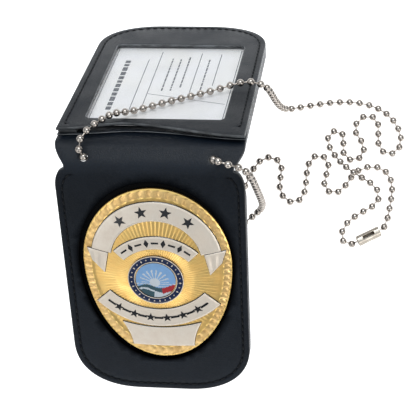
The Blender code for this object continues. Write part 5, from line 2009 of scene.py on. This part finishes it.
@dataclass
class BeadChain:
    """The nickel bead chain, bead by bead, with the wire that links them."""

    bead_radius: float = 0.0015
    pitch: float = 0.00415
    pole: float = math.radians(19.0)
    wire_radius: float = 0.00036
    bead_sides: int = 16
    bead_rings: int = 9
    bead_mouth: tuple[Pair, Pair] = ((0.80, 0.24), (0.93, 0.29))
    wire_sides: int = 8
    wire_sunk: float = 0.55
    wire_waist: tuple[Pair, ...] = ((-1.0, 0.7), (-0.7, 1.0), (0.0, 0.86), (0.7, 1.0), (1.0, 0.7))
    tube: float = 0.0032
    hole_clear: float = 0.0041
    crease_span: Pair = (0.06, 0.20)

    def bead(self, draft: MeshDraft, centre: Vector, axis: Vector) -> None:
        """Adds one hollow-ended bead.

        Args:
            draft: The draft that takes it.
            centre: Its middle.
            axis: Direction of the chain through it.
        """
        size = self.bead_radius
        ends = [(reach * size, hole * size) for reach, hole in self.bead_mouth]
        profile = [(-reach, hole) for reach, hole in ends]
        for step in range(self.bead_rings + 1):
            turn = self.pole + (math.pi - 2 * self.pole) * step / self.bead_rings
            profile.append((-size * math.cos(turn), size * math.sin(turn)))
        lathe(draft, centre, axis, profile + ends[::-1], self.bead_sides)

    def link(self, draft: MeshDraft, start: Vector, end: Vector) -> None:
        """Adds the waisted wire between two beads.

        Args:
            draft: The draft that takes it.
            start: Middle of one bead.
            end: Middle of the next.
        """
        reach = (end - start).length / 2 - self.bead_radius * self.wire_sunk
        profile = [(reach * along, self.wire_radius * thick) for along, thick in self.wire_waist]
        lathe(draft, (start + end) / 2, end - start, profile, self.wire_sides)

    def side(self, stretches: Sequence[Stretch], clear: float = 0.0
             ) -> list[tuple[bpy.types.Object, np.ndarray]]:
        """Strings beads at one pitch along a whole side, and parts them into its stretches.

        Args:
            stretches: The side's stretches in order from the spine.
            clear: Distance of the first and the last bead from the route's ends.

        Returns:
            Each stretch's piece and its centreline.
        """
        points = list(stretches[0].route)
        for stretch in stretches[1:]:
            points += stretch.route[1:]
        samples = spline_samples(points)
        reach = reach_along(samples)
        count = round((reach[-1] - 2 * clear) / self.pitch)
        places = np.linspace(clear, reach[-1] - clear, count + 1)
        centres = [Vector(point) for point in at(places, reach, samples)]
        made, first = [], 0
        for stretch in stretches:
            last = first + (len(stretch.route) - 1) * SPAN_SAMPLES
            end = reach[last] + (self.pitch if last == len(samples) - 1 else 0)
            draft = MeshDraft()
            strung = [index for index, s in enumerate(places) if reach[first] <= s < end]
            for index in strung:
                before, after = centres[max(index - 1, 0)], centres[min(index + 1, count)]
                self.bead(draft, centres[index], after - before)
                if index < count:
                    self.link(draft, centres[index], centres[index + 1])
            piece = draft.build(stretch.name, [skin(NICKEL)], sharp=45.0)
            start = max(places[strung[0]] - self.bead_radius, 0.0)
            stop = min(places[strung[-1]] + self.bead_radius, reach[-1])
            spots = np.linspace(start, stop, 2 + round((stop - start) / self.bead_radius))
            made.append((piece, at(spots, reach, samples)))
            first = last
        return made

    def dress(self, stretch: Stretch, piece: bpy.types.Object, line: np.ndarray) -> None:
        """Args:
            stretch: The stretch.
            piece: Its object.
            line: Its centreline.
        """
        bend = None
        if stretch.blend_to:
            ends = [tuple(line[round(share * (len(line) - 1))]) for share in stretch.blend_span]
            bend = (stretch.blend_to, *ends)
        fix(piece, stretch.body, "chain_nickel", stretch.node, bend=bend)
        length = float(reach_along(line)[-1])
        tuple(line[0])
        LOG.info("%s is %.1f mm long", piece.name, length / MM)

    def build(self) -> None:
        """Builds both sides of the chain and the run between the two holes."""
        left = [Stretch("chain_on_flap", "chain_over_flap", OVER_FLAP_ROUTE, "spine", "id_flap",
                        self.crease_span),
                Stretch("chain_drop_left", "chain_left_drop", LEFT_DROP_ROUTE, "id_flap", "spine"),
                Stretch("chain_loops_left", "chain_table_left", TABLE_LEFT_ROUTE,
                        far_end="connector")]
        right = [Stretch("chain_drop_right", "chain_right_drop", RIGHT_DROP_ROUTE),
                 Stretch("chain_turn_under", "chain_under_turn", UNDER_TURN_ROUTE),
                 Stretch("chain_loops_right", "chain_table_right", TABLE_RIGHT_ROUTE)]
        for stretches in (left, right):
            for stretch, (piece, line) in zip(stretches, self.side(stretches)):
                self.dress(stretch, piece, line)
        points = [(-x, y, z) for x, y, z in INNER_RUN_ROUTE] + list(reversed(INNER_RUN_ROUTE[:-1]))
        hidden = Stretch("chain_under_spine", "chain_inner_run", points)
        piece, _ = self.side([hidden], self.hole_clear)[0]
        fix(piece, "spine", "chain_nickel", hidden.node)


@dataclass(frozen=True)
class Lamp:
    """One soft area light: its name, its place, its power in watts, its size and its colour."""

    name: str
    place: Triple
    power: float
    size: Pair
    colour: Triple = (1.0, 0.99, 0.97)
    aim: Triple = (0.0, 0.0, 0.03)

    def build(self) -> None:
        """Makes the light."""
        data = bpy.data.lights.new(self.name, "AREA")
        data.shape = "RECTANGLE"
        data.size, data.size_y = self.size
        data.energy = self.power
        data.color = self.colour
        lamp = bpy.data.objects.new(self.name, data)
        lamp.location = self.place
        toward = Vector(self.aim) - Vector(self.place)
        lamp.rotation_euler = toward.to_track_quat("-Z", "Y").to_euler()
        bpy.context.scene.collection.objects.link(lamp)


@dataclass
class Studio:
    """The pale floor, the soft lights and the camera at the photograph's angle."""

    place: Triple = (0.10802, -0.18389, 0.66483)
    right: Triple = (0.99033, 0.05909, -0.12554)
    up: Triple = (-0.02352, 0.96318, 0.26783)
    back: Triple = (0.13674, -0.26228, 0.95525)
    lens: float = 143.03
    sensor: float = 36.0
    # Painted light on the floor: a glowing pool round the object, extra glow that only the camera
    # sees, and a painted shadow with no glow under the tent
    floor_glow: Pair = (0.66, 0.20)
    floor_pool: Pair = (0.11, 0.20)
    camera_only_glow: float = 0.34
    painted_shadow_half: Pair = (0.0210, 0.0765)
    bright_side: Triple = (-0.15, -0.10, 0.98)
    sky_dark: Colour = (0.028, 0.034, 0.040, 1.0)
    sky_bright: Colour = (0.80, 0.86, 0.92, 1.0)
    floor_tones: Pair = (0.80, 0.84)
    floor_gloss: float = 0.7
    floor_half: float = 2.4
    floor_ends: Triple = (-2.0, 1.2, 2.2)
    sweep: float = 0.6
    painted_shadow_from: float = 0.70
    lamps: tuple[Lamp, ...] = (
        Lamp("key_light", (-0.50, -0.62, 0.42), 0.95, (0.45, 0.45)),
        Lamp("fill_light", (0.58, -0.60, 0.40), 2.0, (0.50, 0.50)),
        Lamp("top_light", (0.10, 0.35, 0.95), 3.6, (0.55, 0.40), (0.97, 0.99, 1.0)),
    )

    def camera(self) -> None:
        """Makes the camera."""
        data = bpy.data.cameras.new("photo_camera")
        data.lens = self.lens
        data.sensor_width = self.sensor
        data.clip_start = 0.01
        camera = bpy.data.objects.new("photo_camera", data)
        turned = Matrix((self.right, self.up, self.back)).transposed().to_4x4()
        camera.matrix_world = Matrix.Translation(self.place) @ turned
        bpy.context.scene.collection.objects.link(camera)
        bpy.context.scene.camera = camera

    def floor(self) -> None:
        """Makes the floor as a wide sweep that curves up far behind the object, glowing in a painted
        pool of light round it, glowing more to the camera alone, with a painted shadow of no glow
        under the tent.
        """
        made, tree, shader = start_material("pale_floor")
        dark, pale = ((tone, tone, tone, 1.0) for tone in self.floor_tones)
        away = tree.add("VectorMath", operation="LENGTH", in0=tree.place())
        glow = tree.span(away.outputs["Value"], *self.floor_pool, *self.floor_glow)
        sides = tree.add("SeparateXYZ", in0=tree.place())
        shares = [tree.math("ABSOLUTE", tree.math("DIVIDE", side, half))
                  for side, half in zip(sides.outputs, self.painted_shadow_half)]
        # Painted shadow: no glow under the tent, fading out towards its sides
        outside_painted_shadow = tree.span(tree.math("MAXIMUM", *shares), self.painted_shadow_from, 1.0, 0.0, 1.0)
        seen = tree.add("LightPath").outputs["Is Camera Ray"]
        glow = tree.math("ADD", glow, tree.times(seen, self.camera_only_glow))
        tree.fill(shader, {"Base Color": tree.mix(tree.noise(3.0, 2.0).outputs[0], dark, pale),
                           "Roughness": self.floor_gloss, "Emission Color": (1.0, 1.0, 1.0, 1.0),
                           "Emission Strength": tree.times(glow, outside_painted_shadow)})
        near, far, top = self.floor_ends
        profile = [(near, 0.0), (far, 0.0)]
        profile += [(far + self.sweep * math.sin(t), self.sweep - self.sweep * math.cos(t))
                    for t in np.linspace(0.1, math.pi / 2, 10)]
        rows = [[(x, y, z) for x in (-self.floor_half, self.floor_half)]
                for y, z in [*profile, (far + self.sweep, top)]]
        draft = MeshDraft()
        draft.add(np.array(rows).reshape(-1, 3), grid_faces(2, len(rows)))
        draft.build("pale_floor", [made])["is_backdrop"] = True

    def world(self) -> None:
        """Makes the surroundings: bright above, darker towards the sides, as in a studio tent."""
        world = bpy.data.worlds.new("studio")
        world.use_nodes = True
        tree = Tree(world.node_tree)
        sky = world.node_tree.nodes["Background"]
        facing = tree.add("VectorMath", operation="DOT_PRODUCT",
                          in0=tree.add("TexCoord").outputs["Generated"], in1=self.bright_side)
        share = tree.span(facing.outputs["Value"], 0.05, 1.0, 0.0, 1.0)
        tree.feed(sky.inputs[0], tree.mix(share, self.sky_dark, self.sky_bright))
        sky.inputs[1].default_value = 1.0
        bpy.context.scene.world = world
        bpy.context.scene.view_settings.view_transform = "Standard"

    def build(self) -> None:
        """Sets up everything round the object."""
        self.camera()
        self.floor()
        self.world()
        for lamp in self.lamps:
            lamp.build()


def dress_nodes() -> None:
    """Gives the CAD nodes that stay in sight their own finishes."""
    kept = {"id_card": CARD, "window_film": FILM, "chain_connector": CLASP,
            "pin_hinge_block": SILVER, "pin_catch": SILVER, "catch_sleeve": SILVER,
            "pin_stem": NICKEL, "pin_loop": SHADED_RECESS_LEATHER}
    for name, finish in kept.items():
        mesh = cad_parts[name].data
        mesh.materials.clear()
        mesh.materials.append(skin(finish))
        LOG.info("%s has the finish %s", name, finish.name)


def main() -> None:
    """Builds the holder, its badge, the card's print, the chain and the studio."""
    logging.basicConfig(level=logging.INFO, format="%(name)s: %(message)s")
    Studio().build()
    BeadChain().build()
    LeatherHolder().build()
    BadgeShell().build()
    Ribbons().build()
    Seal().build()
    CardPrint().build()
    dress_nodes()
    bpy.context.view_layer.update()
    boxes = [[list(map(float, corner)) for corner in box] for box in (CAD_BOX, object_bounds())]


if __name__ == "__main__":
    main()
